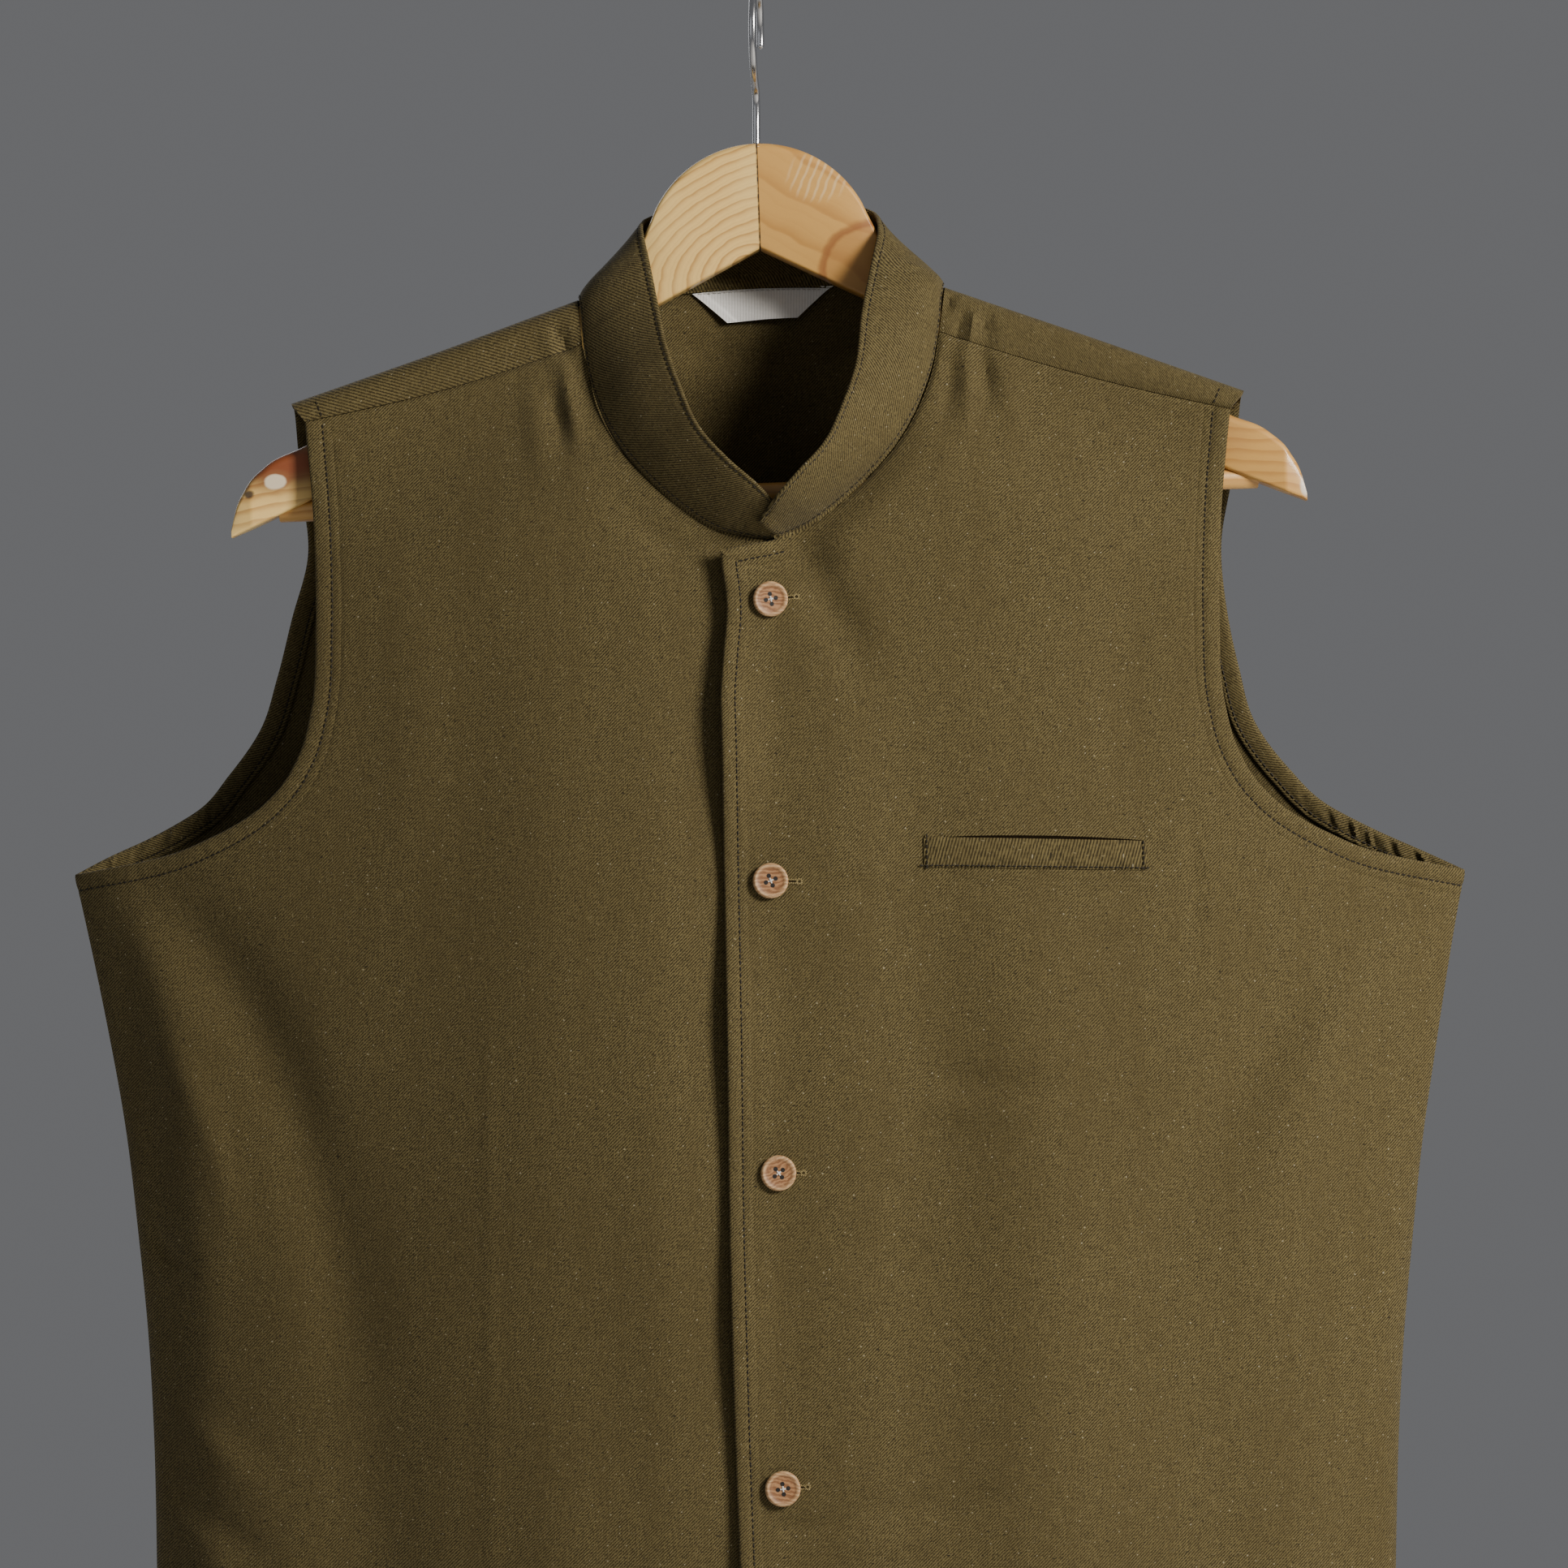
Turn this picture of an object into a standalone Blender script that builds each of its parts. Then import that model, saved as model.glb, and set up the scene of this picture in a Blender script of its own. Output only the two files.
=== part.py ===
"""A sleeveless nehru jacket with a band collar, buttoned and hung on a two-part wooden hanger.

Lengths are in millimetres until a mesh is made, when MM turns them into metres. +X is the right of someone
facing the jacket, -Y is the side they stand on and +Z is up. The origin is the seat inside the top of the hook.

The jacket is cut about its own middle line. A point of it is given by "across", the distance from that line
to the right, and "level", its height. hang() then gives the small sway and tilt with which the jacket hangs.
"""

import math

import bpy
import numpy as np
from mathutils import Vector
from mathutils.bvhtree import BVHTree

MM = 0.001

# Cloth walls and the gaps between them
CLOTH = 1.5
BAND_CLOTH = 1.6
TRIM_CLOTH = 1.0
SEAM_GAP = 0.3
LAY_GAP = 0.4

# Levels of the jacket, below the seat of the hook
HEM = -848.0
ARMPIT = -371.0
NECK_POINT = -130.0
BACK_NECK = -123.6

# Half widths, and how the shoulders fall
NECK_HALF = 76.5
CHEST_HALF = 290.0
SHOULDER_HALF = 197.5
SHOULDER_FALL = 0.363

# Half width of the body at the side seams: level, half width
SIDE_SEAM = (
    (-848, 259.5),
    (-660, 258.5),
    (-604, 259.8),
    (-565, 261.9),
    (-524, 265.7),
    (-480, 270.6),
    (-440, 277.0),
    (-400, 284.2),
    (-371, 290.0),
)

# Edges of the armholes, front and back: level, half width
FRONT_ARMHOLE = (
    (-371, 290.0),
    (-364, 254.0),
    (-355, 230.0),
    (-346.5, 214.5),
    (-335.5, 202.0),
    (-322, 193.5),
    (-303, 188.0),
    (-268, 186.0),
    (-228, 187.0),
    (-182, 191.0),
)
BACK_ARMHOLE_LEFT = (
    (-371, 290.0),
    (-364, 277.0),
    (-355.5, 259.0),
    (-344.5, 240.2),
    (-329, 226.6),
    (-310, 213.6),
    (-288, 206.4),
    (-262, 199.9),
    (-235, 193.0),
    (-209, 195.0),
    (-173.9, 197.5),
)
BACK_ARMHOLE_RIGHT = (
    (-371, 290.0),
    (-364, 275.0),
    (-355.5, 256.0),
    (-344.5, 235.0),
    (-329, 218.6),
    (-310, 204.7),
    (-288, 198.2),
    (-262, 192.8),
    (-235, 190.5),
    (-209, 194.2),
    (-173.9, 197.5),
)

# Front edge of the panel that lies on top: level, across
OVERLAP_EDGE = (
    (-848, -12.0),
    (-655, -14.4),
    (-621, -15.7),
    (-511, -18.4),
    (-379, -18.3),
    (-312, -18.7),
    (-297, -19.0),
    (-280, -17.6),
    (-262, -15.0),
    (-239, -16.0),
)
UNDERLAP = 24.0

# Neckline of a front, from the overlap's corner to the forward shoulder seam: across, level
NECKLINE = (
    (-16.0, -238.6),
    (-4.0, -236.3),
    (5.0, -234.8),
    (18.5, -230.3),
    (32.5, -220.6),
    (45.5, -208.8),
    (56.8, -195.6),
    (65.3, -181.0),
    (70.9, -166.0),
    (74.0, -149.3),
)
UNDER_NECK_START = (-24.0, -239.0)
SEAM_END = (191.0, -182.0)
SEAM_DIP = 2.4

# Where the middle line hangs, off the hook's line: level, distance to the right
MIDDLE_LINE = ((-848, 8.0), (-520, 8.0), (-462, 7.5), (-371, 5.6), (-123, 4.6))
NECK_MIDDLE = 1.7
TILT_LIFT = 2.7

# Depth of the body in front of and behind the side seams: level, depth
FRONT_DEPTH = (
    (-848, 70.0),
    (-500, 66.0),
    (-371, 60.0),
    (-300, 53.0),
    (-235, 46.0),
    (-195, 42.0),
    (-123, 36.0),
)
BACK_DEPTH = ((-848, 44.0), (-500, 39.0), (-371, 32.0), (-300, 27.0), (-235, 24.0), (-123, 22.0))
BODY_ROUNDNESS = ((-848, 0.60), (-500, 0.68), (-371, 0.75), (-123, 0.75))

# The cloth's roll over the shoulder, and how far below it the body's own depth is reached
ROLL_RADIUS = 12.0
ROLL_POWER = 2.5
ROLL_BLEND = 90.0
BACK_NECK_DEPTH = 22.0
BACK_NECK_POWER = 2.6

# Broad folds: side of the jacket, start, middle and end as across and level, half width, height outwards
FOLDS = (
    ("front", (-258, -379), (-182, -428), (-142, -545), 14, -4.0),
    ("front", (-255, -399), (-199, -455), (-182, -531), 15, 5.0),
    ("front", (-265, -412), (-252, -455), (-249, -511), 11, -3.5),
    ("front", (-43, -262), (-44, -450), (-40, -700), 24, 4.5),
    ("front", (-140, -430), (-138, -600), (-134, -850), 28, -5.0),
    ("front", (-215, -600), (-205, -720), (-196, -850), 26, 5.0),
    ("front", (-88, -600), (-86, -720), (-84, -850), 24, 3.5),
    ("front", (262, -385), (196, -425), (160, -520), 14, -3.5),
    ("front", (250, -405), (214, -450), (200, -540), 16, 4.0),
    ("front", (60, -300), (66, -450), (70, -640), 24, -3.0),
    ("front", (108, -400), (112, -560), (116, -850), 28, 4.0),
    ("front", (176, -560), (180, -700), (186, -850), 26, -4.0),
    ("back", (-120, -230), (-132, -480), (-136, -850), 34, 5.0),
    ("back", (122, -230), (136, -480), (140, -850), 34, 5.0),
    ("back", (4, -260), (2, -520), (0, -850), 30, -4.0),
    ("back", (-252, -390), (-214, -470), (-204, -640), 16, -4.0),
    ("back", (254, -388), (216, -470), (208, -640), 16, -4.0),
    ("back", (-70, -560), (-66, -700), (-64, -850), 24, -4.0),
    ("back", (74, -540), (70, -700), (68, -850), 24, -3.5),
)
FOLD_STEPS = 17
SEAM_QUIET = 30.0
TOP_QUIET = 55.0

# How the front's edge stands away from the panel under it, most between the buttons: level, height
EDGE_STAND = (
    (-848, 3.0),
    (-800, 4.0),
    (-745, 2.0),
    (-690, 4.5),
    (-620, 2.2),
    (-555, 4.8),
    (-491, 2.6),
    (-425, 5.5),
    (-374, 1.6),
    (-310, 8.0),
    (-259, 5.0),
    (-239, 5.5),
)
EDGE_STAND_WIDTH = 26.0
OVERLAP_RISE = 1.6
OVERLAP_ENDS = (28.0, 60.0)
UNDERLAP_DROP = 0.6
UNDERLAP_STARTS = (-50.0, -18.0)

# Grid of the panels
LEVELS_BELOW = 15
FRONT_LEVELS = (-371, -366, -360, -351, -340, -325, -305, -282, -258, -235, -208, -182)
BACK_LEVELS = (-371, -366, -360, -351, -340, -325, -305, -282, -258, -235, -212, -194, -184, -178, -175, -173.9)
NECK_STEPS = 10
SHOULDER_STEPS = 7
BACK_NECK_STEPS = 5
FLAP_STEPS = 4

# The band collar. Its top edge from the front end to the middle of the back: x, y, z
BAND_TOP_RIGHT = (
    (1.0, -58.5, -228.3),
    (4.3, -66.0, -224.1),
    (6.7, -72.8, -221.3),
    (8.6, -75.5, -218.9),
    (18.0, -73.0, -208.0),
    (27.7, -67.0, -196.8),
    (36.0, -56.5, -178.3),
    (40.7, -47.5, -163.8),
    (43.7, -32.5, -139.0),
    (48.1, -19.5, -116.7),
    (51.0, -11.0, -104.8),
    (50.9, -2.5, -98.2),
    (49.2, 6.0, -94.5),
    (42.0, 11.0, -91.5),
    (24.0, 16.0, -88.5),
    (1.5, 18.0, -87.5),
)
BAND_TOP_LEFT = (
    (10.0, -65.0, -222.2),
    (6.6, -71.5, -219.5),
    (0.4, -73.0, -213.3),
    (-10.5, -70.0, -203.6),
    (-22.9, -62.5, -189.6),
    (-31.2, -51.5, -171.0),
    (-37.1, -41.0, -153.4),
    (-40.7, -31.0, -136.2),
    (-45.1, -18.5, -114.7),
    (-47.5, -11.0, -105.4),
    (-48.1, -3.5, -100.8),
    (-46.0, 6.0, -97.2),
    (-39.0, 11.0, -94.0),
    (-21.0, 16.0, -90.0),
    (1.5, 18.0, -87.5),
)
BAND_RIGHT_START = 7.4
BAND_LEFT_START = -6.0
BAND_UNDER_DROP = 2.4
BAND_BULGE = 2.2
BAND_STATIONS = 30
BAND_ROWS = 4
BAND_GAP = 1.0

# Small pieces on the jacket
BUTTON_RADIUS = 7.25
BUTTON_PLACES = ((2.8, -259.2), (0.3, -373.6), (1.3, -491.6), (2.5, -618.8), (3.6, -745.0))
BUTTON_PROFILE = (
    (0.0, 0.0),
    (6.0, 0.0),
    (7.1, 0.8),
    (7.25, 1.6),
    (6.7, 2.5),
    (6.0, 2.6),
    (4.9, 2.1),
    (0.0, 2.0),
)
BUTTON_SEGMENTS = 20
BUTTON_HOLE_RADIUS = 0.85
BUTTON_HOLE_OFFSET = 1.6
BUTTON_HOLE_SEGMENTS = 6
WELT_ENDS = (62.5, 154.1)
WELT_TOP = (-356.9, -358.7)
WELT_HEIGHT = (12.5, 12.1)
WELT_STEPS = 8
LABEL_TOP_HALF = 29.0
LABEL_FOOT_HALF = 15.0
LABEL_HEIGHT = 14.5
LABEL_DROP = 2.6
FACING_WIDTH = 9.0
FACING_ENDS = (-366.0, -202.0)
FACING_LEVELS = 18

# The hanger, about its own middle and below the top of its wood
WOOD_TOP = -67.4
HANGER_ROLL = math.radians(2.0)
WOOD_HALF_THICK = 6.5
WOOD_EDGE_ROUND = 3.5
BROW_RADIUS = 48.6
BROW_END = 43.0
ARM_START = (75.5, -64.9)
ARM_SHOULDER = (193.0, -121.0)
BROW_TO_ARM = (56.5, -58.5)
ARM_END_POINTS = ((193.0, -121.0), (208.0, -128.4), (216.5, -137.5), (221.0, -147.0), (223.0, -156.0))
NOTCH_HEIGHT = -44.0
NOTCH_CORNER = (42.0, -65.4)
ARM_HEEL = (191.0, -143.6)
ARM_TIP_FOOT = (222.6, -157.4)
ARM_REACH = 223.0
ARM_BOW = 16.0
JOINT_GAP = 0.3
BAR_RADIUS = 4.7
BAR_LEVEL = -146.7
BAR_HALF = 203.0
BAR_BOW_AT = 197.0
BORE_START = 150.0
BORE_GAP = 0.4
BAR_SIDES = 16
WIRE_RADIUS = 1.55
HOOK_RADIUS = 22.65
HOOK_TURN = math.radians(4.0)
HOOK_STEM = ((0.0, -66.95), (0.0, -60.0), (0.0, -54.0), (0.9, -49.0), (3.6, -45.0), (8.2, -42.3))
HOOK_START = math.radians(-62.0)
HOOK_END = math.radians(189.0)
HOOK_ARC_STEPS = 26

# Colours, roughness and metallic value of each finish
FINISHES = {
    "olive_cloth": ((0.150, 0.113, 0.042), 0.9, 0.0),
    "label_cloth": ((0.72, 0.71, 0.68), 0.85, 0.0),
    "button_wood": ((0.42, 0.24, 0.12), 0.5, 0.0),
    "hanger_wood": ((0.72, 0.50, 0.26), 0.45, 0.0),
    "hook_steel": ((0.75, 0.75, 0.76), 0.18, 1.0),
}


def ease(low, high, value):
    """0 below low, 1 above high, and a smooth step between."""
    share = np.clip((np.asarray(value, float) - low) / (high - low), 0.0, 1.0)
    return share * share * (3.0 - 2.0 * share)


def mix(first, second, share):
    return first + (second - first) * share


def smooth(table, key):
    """The second column of the table at key, on a smooth curve through its rows, whose first column rises."""
    knots, values = np.array(table, float).T
    slopes = np.gradient(values, knots)
    key = np.clip(np.asarray(key, float), knots[0], knots[-1])
    low = np.clip(np.searchsorted(knots, key, side="right") - 1, 0, len(knots) - 2)
    span = knots[low + 1] - knots[low]
    t = (key - knots[low]) / span
    rise = t * t * (3.0 - 2.0 * t)
    leave = t * (1.0 - t) ** 2 * span * slopes[low]
    arrive = t * t * (t - 1.0) * span * slopes[low + 1]
    return mix(values[low], values[low + 1], rise) + leave + arrive


def trace(points, count):
    """count points evenly spaced along a smooth curve through points."""
    points = np.array(points, float)
    steps = np.r_[0.0, np.cumsum(np.linalg.norm(np.diff(points, axis=0), axis=1))]
    fine = np.linspace(0.0, steps[-1], 600)
    dense = np.column_stack([smooth(np.column_stack([steps, column]), fine) for column in points.T])
    lengths = np.r_[0.0, np.cumsum(np.linalg.norm(np.diff(dense, axis=0), axis=1))]
    places = np.linspace(0.0, lengths[-1], count)
    return np.column_stack([np.interp(places, lengths, column) for column in dense.T])


def half_width(level):
    return np.where(np.asarray(level) < ARMPIT, smooth(SIDE_SEAM, level), CHEST_HALF)


def outer_edge(armhole, level):
    """Half width of a panel at its side seam or, above the armpit, at the armhole's edge."""
    return np.where(np.asarray(level) < ARMPIT, smooth(SIDE_SEAM, level), smooth(armhole, level))


def shoulder_line(half):
    """Level of the fold over the shoulder, and of the neck point inside it."""
    return NECK_POINT - SHOULDER_FALL * np.maximum(half - NECK_HALF, 0.0)


def back_top(half):
    """Level of the back's top edge: the back neckline, then the fold over the shoulder."""
    inside = BACK_NECK + (NECK_POINT - BACK_NECK) * (np.minimum(half, NECK_HALF) / NECK_HALF) ** 2
    return np.where(half < NECK_HALF, inside, shoulder_line(half))


def forward_seam(half):
    """Level of the shoulder seam, which lies a little in front of the fold."""
    start = NECKLINE[-1]
    share = np.clip((half - start[0]) / (SEAM_END[0] - start[0]), 0.0, 1.0)
    return mix(start[1], SEAM_END[1], share) - SEAM_DIP * np.sin(math.pi * share)


def arm_bow(half):
    """How far the hanger's arms, and the shoulders on them, come forward."""
    return -ARM_BOW * (half / ARM_REACH) ** 2


def roll_round(drop):
    """Share of the roll's radius that the cloth has turned outwards, drop below the top of the fold."""
    share = np.clip(drop / ROLL_RADIUS, 0.0, 1.0)
    return (1.0 - (1.0 - share) ** ROLL_POWER) ** (1.0 / ROLL_POWER)


def body_depth(depths, half, level):
    """Depth of the hanging body away from the side seams."""
    share = np.clip(half / half_width(level), 0.0, 1.0)
    return smooth(depths, level) * (1.0 - share**2) ** smooth(BODY_ROUNDNESS, level)


def fold_relief(side, across, level):
    """Height of the broad folds, none at the side seams and on the shoulders."""
    relief = np.zeros(np.broadcast(across, level).shape)
    for fold_side, start, middle, end, width, height in FOLDS:
        if fold_side != side:
            continue
        nearest = np.full(relief.shape, 1e9)
        strength = np.zeros(relief.shape)
        for step in np.linspace(0.0, 1.0, FOLD_STEPS):
            x = mix(mix(start[0], middle[0], step), mix(middle[0], end[0], step), step)
            z = mix(mix(start[1], middle[1], step), mix(middle[1], end[1], step), step)
            gap = (across - x) ** 2 + (level - z) ** 2
            strength = np.where(gap < nearest, math.sin(math.pi * (0.12 + 0.76 * step)), strength)
            nearest = np.minimum(nearest, gap)
        relief += height * strength * np.exp(-nearest / width**2)
    to_seam = half_width(level) - np.abs(across)
    to_top = shoulder_line(np.abs(across)) - level
    return relief * ease(0.0, SEAM_QUIET, to_seam) * ease(0.0, TOP_QUIET, to_top)


def front_y(across, level):
    """Depth of the front's outer surface, before the overlap at the buttons."""
    half = np.abs(across)
    drop = shoulder_line(half) - level
    near = arm_bow(half) - ROLL_RADIUS * roll_round(drop)
    body = -body_depth(FRONT_DEPTH, half, level)
    return mix(near, body, ease(0.0, ROLL_BLEND, drop)) - fold_relief("front", across, level)


def over_y(across, level):
    """The panel on top, whose front edge rises off the panel under it."""
    stand = smooth(EDGE_STAND, level)
    from_edge = across - smooth(OVERLAP_EDGE, level)
    lift = stand * (1.0 - ease(0.0, EDGE_STAND_WIDTH, from_edge)) ** 1.5
    rise = OVERLAP_RISE * (1.0 - ease(*OVERLAP_ENDS, across))
    return front_y(across, level) - lift - rise


def under_y(across, level):
    return front_y(across, level) + UNDERLAP_DROP * ease(*UNDERLAP_STARTS, across)


def back_y(across, level):
    half = np.abs(across)
    drop = back_top(half) - level
    share = np.minimum(half, NECK_HALF) / NECK_HALF
    at_fold = arm_bow(np.maximum(half, NECK_HALF))
    edge = at_fold + (BACK_NECK_DEPTH - at_fold) * (1.0 - share**BACK_NECK_POWER) ** 0.625
    rolled = at_fold + ROLL_RADIUS
    full = rolled + (BACK_NECK_DEPTH + 2.0 - rolled) * (1.0 - share**2) ** 0.7
    near = mix(edge, full, roll_round(drop))
    body = body_depth(BACK_DEPTH, half, level)
    return mix(near, body, ease(0.0, ROLL_BLEND, drop)) + fold_relief("back", across, level)


def hang(across, y, level):
    """The point in space, with the jacket's sway and the tilt of its shoulders."""
    across, level = np.asarray(across, float), np.asarray(level, float)
    half = np.abs(across)
    at_neck = ease(-290.0, -235.0, level) * (1.0 - ease(60.0, 150.0, half))
    middle = mix(smooth(MIDDLE_LINE, level), NECK_MIDDLE, at_neck)
    tilt = TILT_LIFT * np.clip(across / NECK_HALF, -1.0, 1.0)
    tilt = tilt * mix(0.42, 1.0, ease(ARMPIT, -230.0, level)) * ease(-480.0, -360.0, level)
    return np.stack(np.broadcast_arrays(across + middle, y, level + tilt), axis=-1)


def make_material(name):
    colour, roughness, metallic = FINISHES[name]
    material = bpy.data.materials.new(name)
    material.use_nodes = True
    shader = material.node_tree.nodes["Principled BSDF"]
    shader.inputs["Base Color"].default_value = (*colour, 1.0)
    shader.inputs["Roughness"].default_value = roughness
    shader.inputs["Metallic"].default_value = metallic
    material.diffuse_color = (*colour, 1.0)
    return material


def add_object(name, points, faces, material, flat=False):
    """A named object from points in millimetres."""
    mesh = bpy.data.meshes.new(name)
    mesh.from_pydata([tuple(float(value) * MM for value in point) for point in points], [], faces)
    mesh.materials.append(material)
    if not flat:
        mesh.shade_smooth()
        mesh.set_sharp_from_angle(angle=math.radians(40.0))
    made = bpy.data.objects.new(name, mesh)
    bpy.context.scene.collection.objects.link(made)
    return made


def grid_quads(rows, columns, first=0):
    """Faces of a grid whose points run along each row in turn."""
    quads = []
    for r in range(rows - 1):
        low = first + r * columns
        high = low + columns
        quads += [(low + c, low + c + 1, high + c + 1, high + c) for c in range(columns - 1)]
    return quads


def outward(points, quads):
    """A unit normal at each point, from the faces round it."""
    points = np.asarray(points, float)
    corners = points[np.array(quads)]
    normals = np.cross(corners[:, 2] - corners[:, 0], corners[:, 3] - corners[:, 1])
    total = np.zeros_like(points)
    for corner in range(4):
        np.add.at(total, np.array(quads)[:, corner], normals)
    return total / np.maximum(np.linalg.norm(total, axis=1, keepdims=True), 1e-9)


def wall(name, outer, inner, quads, material):
    """A closed cloth wall between two sets of points that share their faces."""
    count = len(outer)
    edges = {(quad[i], quad[(i + 1) % 4]) for quad in quads for i in range(4)}
    rim = [(b, a, a + count, b + count) for a, b in sorted(edges) if (b, a) not in edges]
    back = [tuple(corner + count for corner in reversed(quad)) for quad in quads]
    return add_object(name, np.concatenate([outer, inner]), list(quads) + back + rim, material)


def cloth_wall(name, points, quads, thickness, material, pinned=None):
    """A wall of even thickness. pinned gives the directions that some points keep instead of their normal."""
    normals = outward(points, quads)
    for index, direction in (pinned or {}).items():
        normals[index] = direction
    return wall(name, points, points - thickness * normals, quads, material)


def faceted(points, quads):
    """The panel as built, to lay other pieces on."""
    return BVHTree.FromPolygons([Vector(point) for point in points], quads)


def laid_on(tree, x, z, direction, gap):
    """The point of a panel at x, z, met from the side that direction points to, and moved that way by gap."""
    start = Vector((x, direction * 400.0, z))
    found = tree.ray_cast(start, Vector((0.0, -direction, 0.0)))
    if found[0] is None:
        raise ValueError(f"no cloth at {x:.1f}, {z:.1f}")
    return np.array(found[0]) + np.array((0.0, direction * gap, 0.0))


def front_grid(across_top, armhole_levels, inner_edge):
    """Across and level of each point of a front, rows from the hem up, columns from the buttons outwards."""
    tip = armhole_levels[-1]
    outer_levels = np.r_[np.linspace(HEM, ARMPIT, LEVELS_BELOW)[:-1], armhole_levels]
    shares = (outer_levels - HEM) / (tip - HEM)
    across_top = np.array(across_top, float)
    ends = across_top[0, 0], across_top[-1, 0]
    top_share = (across_top[:, 0] - ends[0]) / (ends[1] - ends[0])
    even = np.linspace(0.0, 1.0, len(across_top))
    hem_share = 0.5 * even + 0.5 * np.sin(0.5 * math.pi * even)
    across, level = [], []
    for share, outer_level in zip(shares, outer_levels):
        row_level = HEM + (across_top[:, 1] - HEM) * share
        spread = mix(hem_share, top_share, ease(0.3, 1.0, share))
        first, last = inner_edge(row_level[0]), outer_edge(FRONT_ARMHOLE, outer_level)
        across.append(mix(float(first), float(last), spread))
        level.append(row_level)
    return np.array(across), np.array(level)


def top_of_front(start, neckline):
    """Points along the neckline and the shoulder seam."""
    neck = trace((start,) + neckline, NECK_STEPS + 1)
    half = np.linspace(neckline[-1][0], SEAM_END[0], SHOULDER_STEPS + 1)[1:]
    return np.concatenate([neck, np.column_stack([half, forward_seam(half)])])


def build_front(name, side, material):
    """side is 1 for the panel on top, at the right, and -1 for the one under it.

    At the side seam the wall's thickness runs straight in, so the front and the back don't cross there.
    """
    if side > 0:
        top = top_of_front(NECKLINE[0], NECKLINE[1:])
        across, level = front_grid(top, FRONT_LEVELS, lambda z: smooth(OVERLAP_EDGE, z))
        y = over_y(across, level)
    else:
        top = top_of_front(UNDER_NECK_START, NECKLINE[1:])
        across, level = front_grid(top, FRONT_LEVELS, lambda z: -UNDERLAP)
        across = -across
        y = under_y(across, level)
    y[:, -1] -= 0.5 * SEAM_GAP * (level[:, -1] <= ARMPIT + 0.1)
    level = level.copy()
    level[-1, NECK_STEPS:] -= 0.5 * SEAM_GAP
    rows, columns = across.shape
    points = hang(across, y, level).reshape(-1, 3)
    quads = grid_quads(rows, columns)
    if side < 0:
        quads = [tuple(reversed(quad)) for quad in quads]
    pins = {row * columns + columns - 1: (side, 0.0, 0.0) for row in range(LEVELS_BELOW)}
    cloth_wall(name, points, quads, CLOTH, material, pins)
    return faceted(points, quads)


def build_back(material):
    """The back, which comes over the shoulders to the forward seams."""
    neck = np.linspace(0.0, NECK_HALF, BACK_NECK_STEPS + 1)
    neck = NECK_HALF * np.sin(0.5 * math.pi * neck / NECK_HALF) ** 0.8
    seam_half = np.linspace(NECKLINE[-1][0], SEAM_END[0], SHOULDER_STEPS + 1)
    seam_share = (seam_half - seam_half[0]) / (seam_half[-1] - seam_half[0])
    fold_half = mix(NECK_HALF, SHOULDER_HALF, seam_share)
    half = np.r_[neck, fold_half[1:]]
    top_across = np.r_[-half[::-1], half[1:]]
    top_level = back_top(np.abs(top_across))
    outer_levels = np.r_[np.linspace(HEM, ARMPIT, LEVELS_BELOW)[:-1], BACK_LEVELS]
    shares = (outer_levels - HEM) / (BACK_LEVELS[-1] - HEM)
    even = np.linspace(-1.0, 1.0, len(top_across))
    hem_share = 0.5 * even + 0.5 * np.sin(0.5 * math.pi * even)
    across, level = [], []
    for share, outer_level in zip(shares, outer_levels):
        level.append(HEM + (top_level - HEM) * share)
        spread = mix(hem_share, top_across / SHOULDER_HALF, ease(0.3, 1.0, share))
        left, right = (float(outer_edge(table, outer_level)) for table in (BACK_ARMHOLE_LEFT, BACK_ARMHOLE_RIGHT))
        across.append(np.where(spread < 0.0, left, right) * spread)
    across, level = np.array(across), np.array(level)
    y = back_y(across, level)
    for column in (0, -1):
        y[:, column] += 0.5 * SEAM_GAP * (level[:, column] <= ARMPIT + 0.1)
    rows, columns = across.shape
    points = [hang(across, y, level).reshape(-1, 3)]
    quads = [tuple(reversed(quad)) for quad in grid_quads(rows, columns)]
    flap_shares = (np.arange(1, FLAP_STEPS + 1) / FLAP_STEPS) ** 1.7
    for side in (-1, 1):
        first = sum(len(block) for block in points)
        flap_half = mix(fold_half[None, :], seam_half[None, :], flap_shares[:, None])
        seam_level = forward_seam(seam_half) + 0.5 * SEAM_GAP
        flap_level = mix(shoulder_line(fold_half)[None, :], seam_level[None, :], flap_shares[:, None])
        flap_across = side * flap_half
        points.append(hang(flap_across, front_y(flap_across, flap_level), flap_level).reshape(-1, 3))
        middle = BACK_NECK_STEPS + SHOULDER_STEPS
        wide = SHOULDER_STEPS + 1
        top_middle = (rows - 1) * columns + middle
        fold_row = [top_middle + side * (BACK_NECK_STEPS + k) for k in range(wide)]
        table = [fold_row] + [[first + r * wide + c for c in range(wide)] for r in range(FLAP_STEPS)]
        for upper, lower in zip(table, table[1:]):
            for c in range(SHOULDER_STEPS):
                quad = (upper[c], lower[c], lower[c + 1], upper[c + 1])
                quads.append(quad if side > 0 else tuple(reversed(quad)))
    points = np.concatenate(points)
    pins = {row * columns: (-1.0, 0.0, 0.0) for row in range(LEVELS_BELOW)}
    pins.update({row * columns + columns - 1: (1.0, 0.0, 0.0) for row in range(LEVELS_BELOW)})
    made = cloth_wall("back", points, quads, CLOTH, material, pins)
    inner = np.array([vertex.co[:] for vertex in made.data.vertices])[len(points) :] / MM
    return faceted(inner, quads)


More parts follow.
